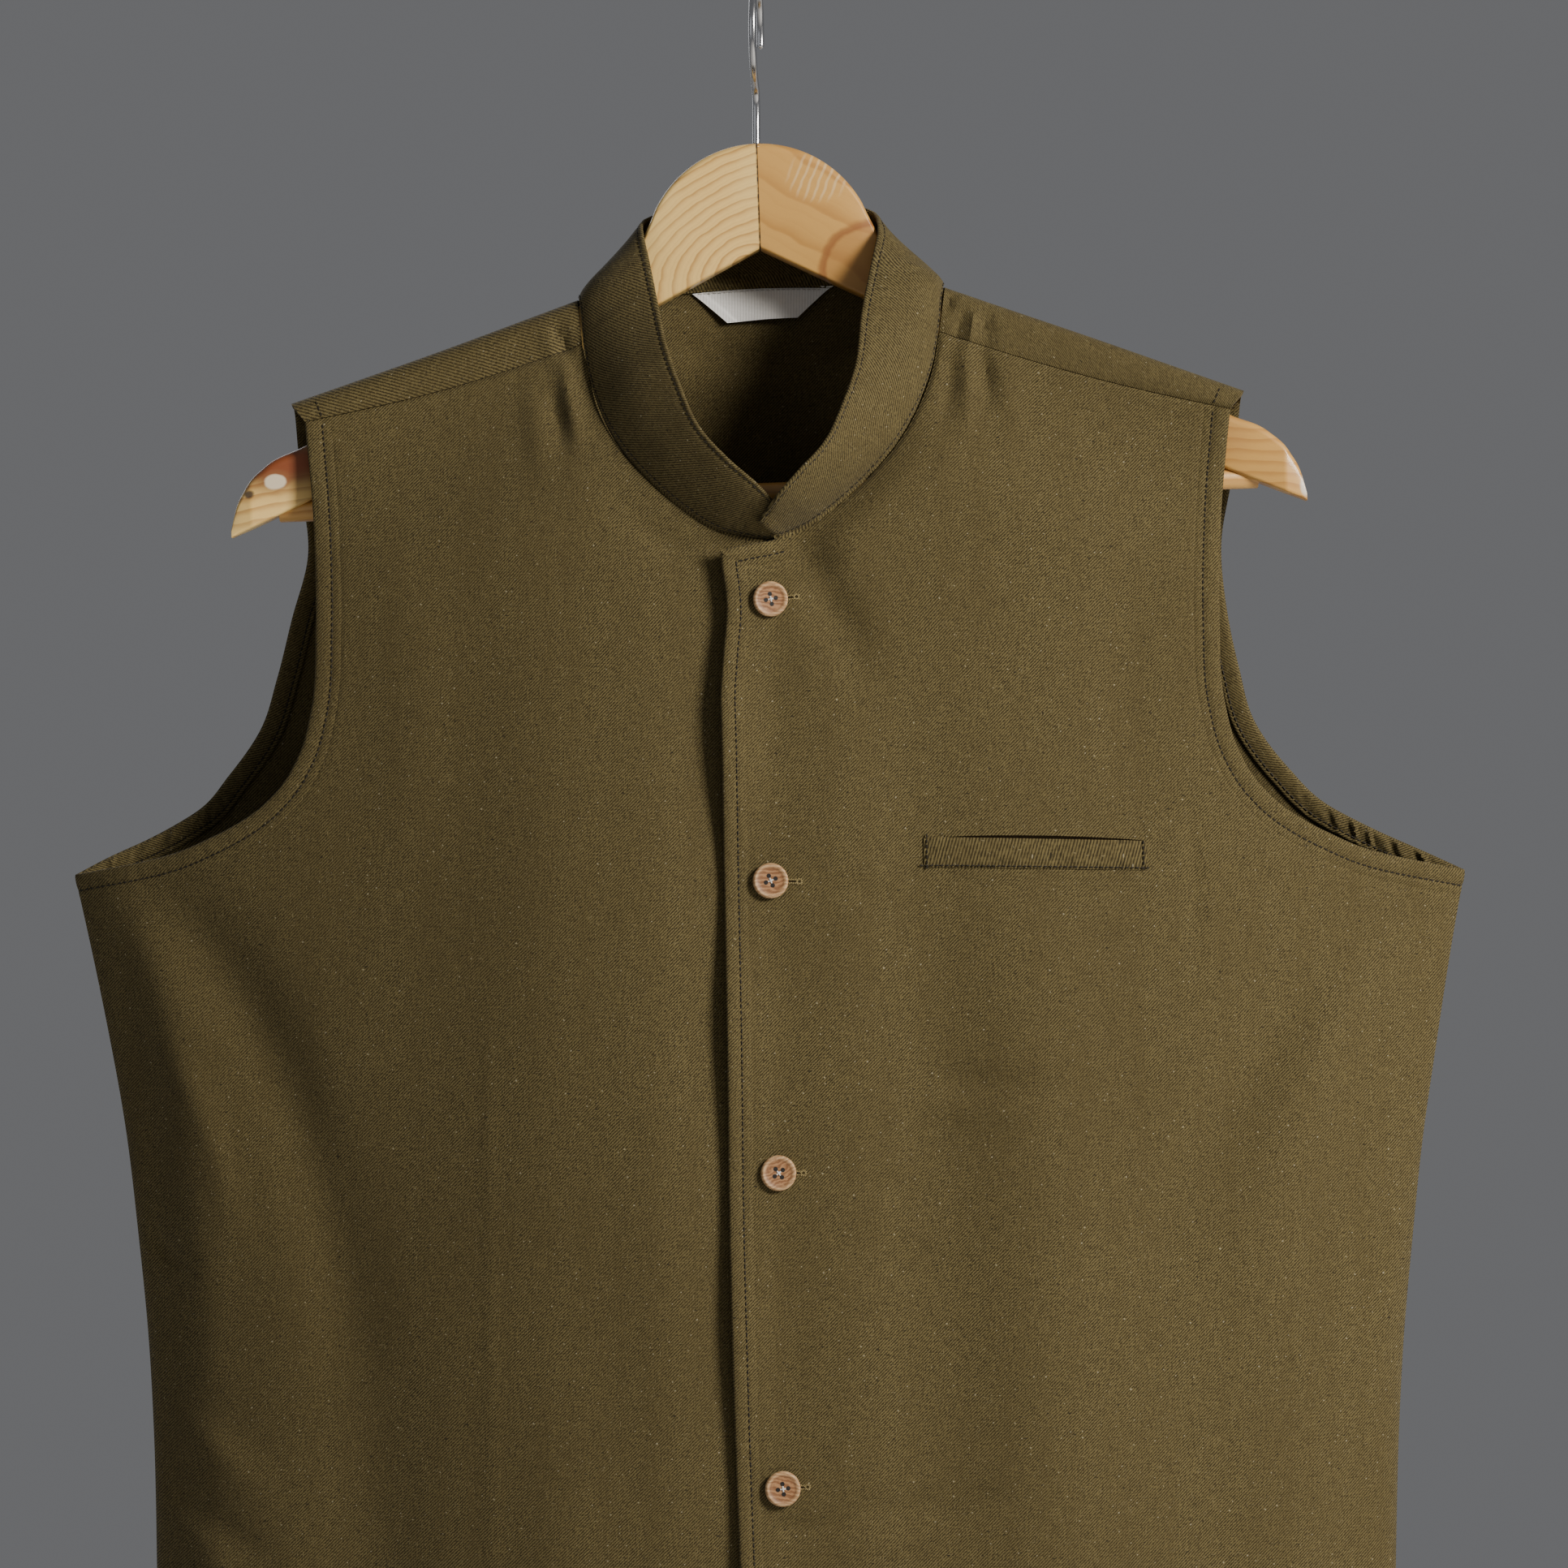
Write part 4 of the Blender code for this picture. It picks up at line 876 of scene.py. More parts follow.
def border_profile(stitch, puff):
    """Cross section of a turned edge: distance from the edge, height, and share of the pucker."""
    return (
        (0.0, -0.9, 0.0),
        (0.08, -0.45, 0.0),
        (0.3, -0.1, 0.1),
        (0.7, 0.12, 0.3),
        (1.4, 0.75 * puff, 0.6),
        (0.4 * stitch, puff, 1.0),
        (0.68 * stitch, puff, 1.0),
        (stitch - 1.0, 0.45 * puff, 0.7),
        (stitch - 0.35, -0.1, 0.2),
        (stitch + 0.15, -0.14, 0.0),
        (stitch + 0.8, 0.02, 0.3),
        (stitch + 1.8, 0.06, 0.5),
        (stitch + 3.0, 0.0, 0.2),
        (stitch + 4.2, -0.3, 0.0),
        (stitch + 4.6, -0.5, 0.0),
        (stitch + 4.6, -1.3, 0.0),
        (stitch + 2.4, -1.6, 0.0),
        (0.5 * stitch, -1.9, 0.0),
        (1.2, -1.95, 0.0),
        (0.4, -1.75, 0.0),
        (0.1, -1.35, 0.0),
    )


def pucker(places, phase):
    """Small uneven waves that a row of stitches pulls into an edge."""
    slow = np.sin(2.0 * math.pi * places / 9.7 + 1.7 * phase)
    quick = np.sin(2.0 * math.pi * places / 5.9 + phase + 0.6 * np.sin(places / 31.0))
    return 0.07 * slow + 0.10 * quick


def border(surface, facing, line, profile, side=1, mitres=(0.0, 0.0), spacing=1.5, phase=0.0):
    """A turned edge along a line. A mitre shortens it with the distance from the edge."""
    total = lengths_of(line)[-1]
    normals = inwards_of(line)
    lengths = lengths_of(line)
    shares = np.linspace(0.0, 1.0, int(total / spacing) + 2)
    across, level, height = [], [], []
    for distance, rise, share in profile:
        places = mitres[0] * distance + shares * (total - (mitres[0] + mitres[1]) * distance)
        spots = at_lengths(line, places)
        turn = np.stack([np.interp(places, lengths, column) for column in normals.T], axis=-1)
        turn /= np.linalg.norm(turn, axis=1, keepdims=True)
        spots = spots + distance * turn
        across.append(side * spots[:, 0])
        level.append(spots[:, 1])
        height.append(rise + share * pucker(places, phase))
    across, level, height = np.array(across).T, np.array(level).T, np.array(height).T
    points, _ = on_cloth(surface, facing, across, level, height)
    stations, around = across.shape
    faces = []
    for s in range(stations - 1):
        for k in range(around):
            after = (k + 1) % around
            faces.append((s * around + k, s * around + after, (s + 1) * around + after, (s + 1) * around + k))
    faces.append(tuple(reversed(range(around))))
    faces.append(tuple(range((stations - 1) * around, stations * around)))
    return Block(points, faces, np.column_stack([across.ravel(), level.ravel()]))


def inset_line(line, distance, mitres=(0.0, 0.0)):
    """The line moved inwards, and shortened by its mitres."""
    lengths = lengths_of(line)
    places = np.linspace(mitres[0] * distance, lengths[-1] - mitres[1] * distance, len(line))
    turn = np.stack([np.interp(places, lengths, column) for column in inwards_of(line).T], axis=-1)
    return at_lengths(line, places) + distance * turn


def thread_block(starts, ends, ups, radius, sink, paint=0):
    """Short threads that dive into the cloth at both ends."""
    run = ends - starts
    aside = np.cross(run, ups)
    aside /= np.maximum(np.linalg.norm(aside, axis=1, keepdims=True), 1e-9)
    sides = 5
    rings = ((0.14, 0.78, -0.1), (0.5, 1.0, 0.1), (0.86, 0.78, -0.1))
    parts = [starts - sink * ups]
    for share, swell, rise in rings:
        for k in range(sides):
            turn = 2.0 * math.pi * k / sides
            lift = radius * (swell * math.sin(turn) + rise)
            parts.append(starts + share * run + radius * swell * math.cos(turn) * aside + lift * ups)
    parts.append(ends - sink * ups)
    points = np.stack(parts, axis=1)
    faces = []
    for k in range(sides):
        after = (k + 1) % sides
        faces.append((0, 1 + after, 1 + k))
        for ring in range(2):
            low, high = 1 + ring * sides, 1 + (ring + 1) * sides
            faces.append((low + k, low + after, high + after, high + k))
        last = 1 + 2 * sides
        faces.append((last + k, last + after, last + sides))
    count = points.shape[1]
    everything = [tuple(c + n * count for c in face) for n in range(len(points)) for face in faces]
    return Block(points.reshape(-1, 3), everything, None, paint)


def stitch_row(surface, facing, line, height, side=1, pitch=STITCH_PITCH, paint=0):
    """A row of machine stitches along a line on a panel."""
    total = lengths_of(line)[-1]
    count = int(total / pitch)
    firsts = pitch * (np.arange(count) + 0.5 * STITCH_GAP)
    jitter = 0.09 * np.sin(firsts * 3.7) + 0.06 * np.sin(firsts * 1.31)
    lasts = firsts + pitch - STITCH_GAP
    ends = []
    for places, shift in ((firsts, jitter), (lasts, -jitter)):
        spots = at_lengths(line, places)
        ends.append(on_cloth(surface, facing, side * spots[:, 0], spots[:, 1] + shift, height))
    (starts, ups), (stops, _) = ends
    return thread_block(starts, stops, ups, STITCH_RADIUS, 0.3, paint)


def band_foot(side, count):
    """The collar's lower edge, on the neckline, from its front end to the middle of the back."""
    start = BAND_RIGHT_START if side > 0 else BAND_LEFT_START
    front = trace(((start, -234.8 if side > 0 else -236.6),) + NECKLINE[3:], 40)
    surface = over_y if side > 0 else under_y
    front_part = hang(side * front[:, 0], surface(side * front[:, 0], front[:, 1]), front[:, 1])
    if side < 0:
        front_part[:, 1] += BAND_UNDER_DROP * ease(-15.0, 10.0, front_part[:, 0])
    climb = np.linspace(0.0, 1.0, 14)[1:]
    half = mix(NECKLINE[-1][0], NECK_HALF, climb)
    rise = mix(NECKLINE[-1][1], NECK_POINT, 1.0 - (1.0 - climb) ** 1.7)
    crossing = hang(side * half, front_y(side * half, rise), rise)
    neck = NECK_HALF * np.sqrt(1.0 - np.linspace(0.0, 1.0, 40)[1:] ** 2)
    behind = hang(side * neck, back_y(side * neck, back_top(neck)), back_top(neck))
    foot = np.concatenate([front_part, crossing, behind])
    foot[:, 2] += BAND_GAP
    return trace(foot, count)


def collar_piece(cloth, thread):
    """The band, folded at its top, with stitching along its top, its foot and its ends."""
    count = 170
    foot = np.concatenate([band_foot(1, count), band_foot(-1, count)[::-1][1:]])
    top = np.concatenate([trace(BAND_TOP_RIGHT, count), trace(BAND_TOP_LEFT, count)[::-1][1:]])
    height = np.linalg.norm(top - foot, axis=1)
    run = np.gradient(0.5 * (foot + top), axis=0)
    aside = np.column_stack([run[:, 1], -run[:, 0], np.zeros(len(run))])
    aside /= np.linalg.norm(aside, axis=1, keepdims=True)
    places = lengths_of(0.5 * (foot + top))
    near_foot = np.array((0.0, 0.25, 0.7, 1.3, 1.8, 2.3, 2.9, 3.8, 5.5))
    near_top = np.array((5.5, 3.8, 2.9, 2.4, 1.9, 1.4, 0.9, 0.4, 0.12, 0.0))
    dips_foot = np.array((-0.75, -0.3, 0.0, -0.02, -0.14, -0.14, 0.0, 0.1, 0.12))
    dips_top = np.array((0.12, 0.1, 0.0, -0.16, -0.16, 0.02, 0.12, 0.0, -0.3, -0.75))
    between = np.linspace(0.0, 1.0, 12)[1:-1]
    distances, heights = [], []
    for distance, dip in zip(near_foot, dips_foot):
        distances.append(np.full(len(foot), distance))
        heights.append(np.full(len(foot), dip))
    for share in between:
        distances.append(mix(5.5, height - 5.5, share))
        heights.append(0.12 + 0.22 * np.sin(places / 19.0 + 3.0 * share) * math.sin(math.pi * share))
    for distance, dip in zip(near_top, dips_top):
        distances.append(height - distance)
        heights.append(np.full(len(foot), dip))
    distances, heights = np.array(distances), np.array(heights)
    shares = distances / height
    base = mix(foot[None], top[None], shares[..., None])
    shoulder = np.exp(-(((np.abs(foot[:, 0]) - BAND_FULL_AT) / 14.0) ** 2)) * ease(-60.0, -20.0, top[:, 1])
    bulge = BAND_BULGE + np.where(foot[:, 0] > 0.0, BAND_FULL, BAND_FULL_LEFT) * shoulder
    base = base + (bulge * np.sin(math.pi * shares))[..., None] * aside[None]
    end_gap = np.minimum(places, places[-1] - places)
    heights = heights - 0.7 * (1.0 - ease(0.0, 0.7, end_gap))[None]
    wave = 0.07 * np.sin(places * 1.05) + 0.05 * np.sin(places * 0.62 + 1.0)
    heights = heights + wave[None] * (1.0 - ease(2.2, 7.0, np.minimum(distances, height - distances)))
    rows, columns = shares.shape
    quads = grid_quads(rows, columns)
    points = base.reshape(-1, 3)
    normals = outward(points, quads)
    if np.einsum("ij,ij->", normals, np.tile(aside, (rows, 1))) < 0.0:
        normals = -normals
    lift = heights.reshape(-1, 1)
    inner_height = np.where(lift < -0.2, lift - 0.35, -BAND_CLOTH)
    flat = np.column_stack([np.tile(places, rows), distances.ravel()])
    turned_in = np.clip(1.0 - distances / BAND_TURN_FROM, 0.0, 1.0).reshape(-1, 1)
    inner = points + (inner_height - BAND_TURN_IN * turned_in) * normals
    inner = inner - (0.0, 0.0, BAND_TURN_DOWN) * turned_in
    blocks = [wall(points + lift * normals, inner, quads, flat)]
    threads = []
    index = np.arange(len(foot), dtype=float)
    grid = points.reshape(rows, columns, 3)
    facing = normals.reshape(rows, columns, 3)
    for row in (4, rows - 6):
        line, ups = grid[row], facing[row]
        trimmed = lengths_of(line)
        firsts = np.arange(2.2, trimmed[-1] - 4.5, STITCH_PITCH)
        spots = []
        for places_now in (firsts, firsts + STITCH_PITCH - STITCH_GAP):
            at = np.interp(places_now, trimmed, index)
            low = np.floor(at).astype(int)
            part = (at - low)[:, None]
            high = np.minimum(low + 1, len(line) - 1)
            spots.append((mix(line[low], line[high], part), mix(ups[low], ups[high], part)))
        (starts, starts_up), (stops, stops_up) = spots
        starts = starts - 0.12 * starts_up
        stops = stops - 0.12 * stops_up
        threads.append(thread_block(starts, stops, starts_up, STITCH_RADIUS, 0.3))
    near_column = int(np.searchsorted(places, BAND_STITCH))
    far_column = int(np.searchsorted(places, places[-1] - BAND_STITCH)) - 1
    for column in (near_column, far_column):
        line, ups = grid[4 : rows - 5, column], facing[4 : rows - 5, column]
        trimmed = lengths_of(line)
        firsts = np.arange(0.4, trimmed[-1] - 2.0, STITCH_PITCH)
        starts = at_lengths(line, firsts)
        stops = at_lengths(line, firsts + STITCH_PITCH - STITCH_GAP)
        up = np.tile(ups.mean(axis=0), (len(starts), 1))
        threads.append(thread_block(starts - 0.05 * up, stops - 0.05 * up, up, STITCH_RADIUS, 0.3))
    piece = make_piece("collar_band", blocks, [cloth], ["collar"])
    stitching = make_piece("collar_topstitch", threads, [thread])
    return piece, stitching


def welt_piece(cloth, thread, shade):
    """The breast welt, folded at its top, with its mouth above it, a near-black sheet of painted shade, and
    its stitching.
    """
    u = np.r_[0.0, 0.006, 0.016, 0.03, np.linspace(0.05, 0.95, 40), 0.97, 0.984, 0.994, 1.0]
    v = np.array((0.0, 0.03, 0.09, 0.16, 0.25, 0.4, 0.55, 0.7, 0.82, 0.91, 0.97, 1.0))
    across = mix(*WELT_ENDS, u)[None, :] + 0.0 * v[:, None]
    height = mix(*WELT_HEIGHT, u)[None, :]
    level = mix(*WELT_TOP, u)[None, :] - height * (1.0 - v[:, None])
    from_end = np.minimum(u, 1.0 - u)[None, :] * (WELT_ENDS[1] - WELT_ENDS[0])
    from_foot = v[:, None] * height
    from_top = (1.0 - v[:, None]) * height
    rise = 0.75 + 0.75 * ease(0.0, 9.0, from_foot) * ease(0.0, 12.0, from_end)
    rise = rise - 0.35 * np.exp(-(((from_foot - 1.2) / 0.6) ** 2))
    rise = rise - 0.3 * np.exp(-(((from_end - 1.6) / 0.6) ** 2))
    rise = rise - 0.7 * (1.0 - ease(0.0, 0.5, from_foot)) - 0.6 * (1.0 - ease(0.0, 0.5, from_end))
    rise = rise - 0.5 * (1.0 - ease(0.0, 0.7, from_top)) + 0.1 * np.sin(u * 19.0)[None, :]
    outer, _ = on_cloth(over_y, 1, across, level, rise)
    inner, _ = on_cloth(over_y, 1, across, level, np.minimum(rise - 0.35, 0.12))
    flat = np.column_stack([across.ravel(), 0.3 * level.ravel()])
    quads = grid_quads(len(v), len(u))
    blocks = [wall(outer.reshape(-1, 3), inner.reshape(-1, 3), quads, flat)]
    # The mouth: a thin sheet in painted shade, standing for the shadow in the pocket's opening.
    mouth_u = np.linspace(0.1, 1.0, 40)
    open_by = 1.5 * np.sin(math.pi * (mouth_u - 0.1) / 0.9) ** 0.6 + 0.1
    mouth_across = mix(*WELT_ENDS, mouth_u)
    mouth_top = mix(*WELT_TOP, mouth_u) + open_by
    rows = []
    for share in (0.0, 0.5, 1.0):
        rows.append((mouth_across, mix(mouth_top - open_by - 1.0, mouth_top, share)))
    mouth_a, mouth_l = np.array([row[0] for row in rows]), np.array([row[1] for row in rows])
    top_face, _ = on_cloth(over_y, 1, mouth_a, mouth_l, np.full(mouth_a.shape, 0.1))
    low_face, _ = on_cloth(over_y, 1, mouth_a, mouth_l, np.full(mouth_a.shape, -0.5))
    blocks.append(wall(top_face.reshape(-1, 3), low_face.reshape(-1, 3), grid_quads(3, 40), None, 1))
    lip_level = np.stack([mouth_top - 0.25, mouth_top + 0.35, mouth_top + 1.2])
    lip_across = np.stack([mouth_across] * 3)
    lip_height = np.stack([np.full(40, 0.35), np.full(40, 0.4), np.full(40, 0.0)])
    lip, _ = on_cloth(over_y, 1, lip_across, lip_level, lip_height)
    lip_back, _ = on_cloth(over_y, 1, lip_across, lip_level, np.full(lip_across.shape, -0.4))
    lip_flat = np.column_stack([lip_across.ravel(), lip_level.ravel()])
    blocks.append(wall(lip.reshape(-1, 3), lip_back.reshape(-1, 3), grid_quads(3, 40), lip_flat))
    piece = make_piece("breast_welt", blocks, [cloth, shade], ["pocket_welt"])
    foot_left = (WELT_ENDS[0], WELT_TOP[0] - WELT_HEIGHT[0])
    foot_right = (WELT_ENDS[1], WELT_TOP[1] - WELT_HEIGHT[1])
    lines = (
        ((foot_left[0] - 2.0, foot_left[1] + 1.1), (foot_right[0] + 1.2, foot_right[1] + 1.1)),
        ((foot_left[0] + 1.6, foot_left[1] - 1.0), (WELT_ENDS[0] + 1.6, WELT_TOP[0] + 1.5)),
        ((foot_right[0] - 1.4, foot_right[1] - 0.4), (WELT_ENDS[1] - 1.4, WELT_TOP[1] + 1.0)),
    )
    threads = [stitch_row(over_y, 1, np.array(line), 1.0, pitch=2.1) for line in lines]
    stitching = make_piece("welt_topstitch", threads, [thread])
    return piece, stitching


def label_piece(woven, thread):
    """The bare woven label, its ends folded under, sewn along its top."""
    u = np.linspace(-1.0, 1.0, 61)
    v = np.array((0.0, 0.04, 0.1, 0.2, 0.35, 0.5, 0.65, 0.8, 0.92, 1.0))
    half = mix(LABEL_FOOT_HALF, LABEL_TOP_HALF, v)[:, None]
    across = LABEL_ASIDE + u[None, :] * half
    level = back_top(np.abs(across)) - LABEL_DROP - LABEL_HEIGHT * (1.0 - v)[:, None]
    level = level + LABEL_TILT * across
    curl = 4.0 * (1.0 - v[:, None]) ** 1.3 * (0.75 + 0.25 * np.sin(2.6 * u + 0.7))[None, :]
    folded = 0.5 * ease(-0.35, 0.0, np.abs(across - LABEL_ASIDE) - half + 4.0)
    height = -(CLOTH + 0.75 + curl + folded)
    outer, _ = on_cloth(back_y, -1, across, level, height)
    inner, _ = on_cloth(back_y, -1, across, level, height + 0.45)
    flat = np.column_stack([across.ravel(), level.ravel()])
    blocks = [wall(outer.reshape(-1, 3), inner.reshape(-1, 3), grid_quads(len(v), len(u)), flat)]
    piece = make_piece("neck_label", blocks, [woven], ["label"])
    across = np.linspace(-27.0, 27.0, 30)
    line = np.column_stack([across, back_top(np.abs(across)) - 2.2])
    threads = stitch_row(back_y, -1, line, -(CLOTH + 1.35), pitch=2.2)
    stitching = make_piece("label_stitch", [threads], [thread])
    return piece, stitching


def facing_piece(side, cloth, thread):
    """The strip turned in along the back of an armhole, pulled into short slanting ripples."""
    line = armhole_line(back_armhole(side), FACING_ENDS[1], 190)
    lengths = lengths_of(line)
    normals = inwards_of(line)
    distances = np.array((0.5, 0.8, 1.5, 2.5, 3.6, 4.7, 5.6, 6.3, 6.9, 7.4, 8.0, 8.6, 9.0))
    heights = np.array((2.3, 2.75, 3.0, 3.1, 3.1, 3.05, 2.95, 2.75, 2.65, 2.8, 2.9, 2.75, 2.3))
    ripple_share = np.array((0.0, 0.3, 0.7, 1.0, 1.0, 1.0, 0.8, 0.4, 0.2, 0.4, 0.5, 0.2, 0.0))
    across = line[:, :1] + normals[:, :1] * distances[None]
    level = line[:, 1:] + normals[:, 1:] * distances[None]
    slant = lengths[:, None] + 0.9 * distances[None] + 2.4 * np.sin(lengths[:, None] / 8.0 + side)
    ripple = np.maximum(np.sin(2.0 * math.pi * slant / 8.3), -0.3)
    ripple = ripple + 0.5 * np.sin(2.0 * math.pi * slant / 4.7 + 1.0)
    strength = 0.8 * (ease(4.0, 16.0, lengths) - ease(44.0, 84.0, lengths))[:, None] + 0.07
    height = -(heights[None] + ripple_share[None] * strength * ripple)
    outer, _ = on_cloth(back_y, -1, side * across, level, height)
    inner, _ = on_cloth(back_y, -1, side * across, level, np.full(across.shape, -2.0))
    flat = np.column_stack([distances[None].repeat(len(line), 0).ravel(), lengths.repeat(len(distances))])
    quads = grid_quads(len(line), len(distances))
    block = wall(outer.reshape(-1, 3), inner.reshape(-1, 3), quads, flat)
    name = "armhole_strip_right" if side > 0 else "armhole_strip_left"
    node = "armhole_facing_left" if side > 0 else "armhole_facing_right"
    piece = make_piece(name, [block], [cloth], [node])
    stitched = inset_line(line, 6.8)
    threads = stitch_row(back_y, -1, stitched, -2.95, side)
    stitching = make_piece(name + "_stitch", [threads], [thread])
    return piece, stitching


def fronts_and_back(cloth, thread):
    """The three panels with their turned edges, and the stitching on each."""
    made = []
    armhole = armhole_line(FRONT_ARMHOLE, SEAM_END[1] - 0.4, 400)
    edge, neck = front_edge_line(), neck_edge_line()
    for side in (1, -1):
        surface = over_y if side > 0 else under_y
        hem_start = float(smooth(OVERLAP_EDGE, HEM)) if side > 0 else -UNDERLAP
        hem = np.column_stack([np.linspace(hem_start, half_width(HEM), 160), np.full(160, HEM)])
        blocks = [front_panel(side)]
        profile = border_profile(ARMHOLE_STITCH, 0.42)
        blocks.append(border(surface, 1, armhole, profile, side, phase=0.3 * side))
        blocks.append(border(surface, 1, hem, border_profile(HEM_STITCH, 0.3), side, spacing=2.4, phase=1.1))
        threads = [stitch_row(surface, 1, inset_line(armhole, ARMHOLE_STITCH), -0.02, side)]
        threads.append(stitch_row(surface, 1, inset_line(hem, HEM_STITCH), -0.02, side))
        if side > 0:
            profile = border_profile(EDGE_STITCH, 0.42)
            blocks.append(border(surface, 1, edge, profile, mitres=(CORNER_MITRE, 0.0), phase=2.2))
            blocks.append(border(surface, 1, neck, profile, mitres=(0.0, CORNER_MITRE), phase=0.9))
            threads.append(stitch_row(surface, 1, inset_line(edge, EDGE_STITCH, (CORNER_MITRE, 0.0)), -0.02))
            threads.append(stitch_row(surface, 1, inset_line(neck, EDGE_STITCH, (0.0, CORNER_MITRE)), -0.02))
        node = "front_left" if side > 0 else "front_right"
        name = "front_over" if side > 0 else "front_under"
        piece = make_piece(name, blocks, [cloth], [node])
        made.append((piece, make_piece(name + "_topstitch", threads, [thread])))
    hem = np.column_stack([np.linspace(-half_width(HEM), half_width(HEM), 300), np.full(300, HEM)])
    blocks = [back_panel(), border(back_y, -1, hem, border_profile(HEM_STITCH, 0.3), spacing=2.4, phase=0.5)]
    threads = [stitch_row(back_y, -1, inset_line(hem, HEM_STITCH), -0.02)]
    for side in (1, -1):
        line = armhole_line(back_armhole(side), -177.5, 400)
        blocks.append(border(back_y, -1, line, border_profile(ARMHOLE_STITCH, 0.42), side, phase=1.9 * side))
        threads.append(stitch_row(back_y, -1, inset_line(line, ARMHOLE_STITCH), -0.02, side))
        over_tip = np.array(((183.9, -180.2), (185.2, -177.2), (187.2, -172.6)))
        threads.append(stitch_row(front_y, 1, over_tip, 0.08, side))
    piece = make_piece("back_panel", blocks, [cloth], ["back"])
    made.append((piece, make_piece("back_topstitch", threads, [thread])))
    return made


def button_mesh():
    """A turned button with four holes, its face towards -Y and its back at y = 0."""
    segments = 56
    turned = BUTTON_PROFILE[1:-1]
    points = [(0.0, 0.0, 0.0)]
    for radius, height in turned:
        for k in range(segments):
            angle = 2.0 * math.pi * k / segments
            points.append((radius * math.cos(angle), -height, radius * math.sin(angle)))
    points.append((0.0, -BUTTON_PROFILE[-1][1], 0.0))
    faces = []
    for k in range(segments):
        after = (k + 1) % segments
        faces.append((0, 1 + k, 1 + after))
        for ring in range(len(turned) - 1):
            low, high = 1 + ring * segments, 1 + (ring + 1) * segments
            faces.append((low + k, high + k, high + after, low + after))
        high = 1 + (len(turned) - 1) * segments
        faces.append((high + k, len(points) - 1, high + after))
    blank = plain_object("button_blank", points, faces)
    drills = []
    for turn in range(4):
        angle = 0.5 * math.pi * turn
        centre = BUTTON_HOLE_OFFSET * math.cos(angle), BUTTON_HOLE_OFFSET * math.sin(angle)
        ring = []
        n = 18
        for y in (1.0, -4.0):
            for k in range(n):
                around = 2.0 * math.pi * k / n
                x = centre[0] + BUTTON_HOLE_RADIUS * math.cos(around)
                z = centre[1] + BUTTON_HOLE_RADIUS * math.sin(around)
                ring.append((x, y, z))
        sides = [(k, n + k, n + (k + 1) % n, (k + 1) % n) for k in range(n)]
        caps = [tuple(range(n)), tuple(reversed(range(n, 2 * n)))]
        drill = plain_object(f"button_drill_{turn}", ring, sides + caps)
        cut = blank.modifiers.new(f"hole_{turn}", "BOOLEAN")
        cut.object = drill
        cut.operation = "DIFFERENCE"
        drills.append(drill)
    bpy.context.view_layer.update()
    graph = bpy.context.evaluated_depsgraph_get()
    evaluated = blank.evaluated_get(graph)
    mesh = evaluated.to_mesh()
    corners = np.array([vertex.co[:] for vertex in mesh.vertices]) / MM
    faces = [tuple(face.vertices) for face in mesh.polygons]
    evaluated.to_mesh_clear()
    for extra in drills + [blank]:
        bpy.data.objects.remove(extra)
    return corners, faces


def plain_object(name, points, faces):
    mesh = bpy.data.meshes.new(name)
    mesh.from_pydata([tuple(value * MM for value in point) for point in points], [], faces)
    made = bpy.data.objects.new(name, mesh)
    bpy.context.scene.collection.objects.link(made)
    return made


def button_pieces(wood, thread):
    """Each button where its solid is, turned its own way, with its sewing thread."""
    corners, faces = button_mesh()
    made = []
    for number, (across, level) in enumerate(BUTTON_PLACES, 1):
        low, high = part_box(f"button_{number}")
        middle = (np.array(low) + np.array(high)) / (2.0 * MM)
        _, up = on_cloth(over_y, 1, np.array([across]), np.array([level]), 0.0)
        _, tilt = on_cloth(over_y, 1, np.array([across - 6.0, across + 6.0]), np.array([level, level]), 0.0)
        out = tilt.mean(axis=0) + up[0]
        out /= np.linalg.norm(out)
        right = np.cross((0.0, 0.0, 1.0), -out)
        right /= -np.linalg.norm(right)
        upward = np.cross(right, -out)
        upward *= np.sign(upward[2])
        turn = math.radians(BUTTON_TURNS[number - 1])
        x_axis = math.cos(turn) * right + math.sin(turn) * upward
        z_axis = -math.sin(turn) * right + math.cos(turn) * upward
        axes = np.array((x_axis, -out, z_axis))
        base = middle - 1.3 * out
        placed = corners @ axes + base
        blocks = [Block(placed, faces, corners[:, [0, 2]])]
        starts, ends = [], []
        for pair in (0, 1):
            angle = 0.5 * math.pi * pair
            way = np.array((math.cos(angle), 0.0, math.sin(angle)))
            cross = np.array((-way[2], 0.0, way[0]))
            for shift in (-0.2, 0.0, 0.2):
                starts.append((way * 1.5 + cross * shift) @ axes + base + out * (2.05 + 0.25 * pair))
                ends.append((-way * 1.5 + cross * shift * 0.8) @ axes + base + out * (2.05 + 0.25 * pair))
        ups = np.tile(out, (len(starts), 1))
        sewing = thread_block(np.array(starts), np.array(ends), ups, 0.16, 0.9)
        node = f"button_{number}"
        piece = make_piece(f"button_wood_{number}", blocks, [wood], [node], sharp=30.0)
        made.append(piece)
        made.append(make_piece(f"button_thread_{number}", [sewing], [thread]))
    return made


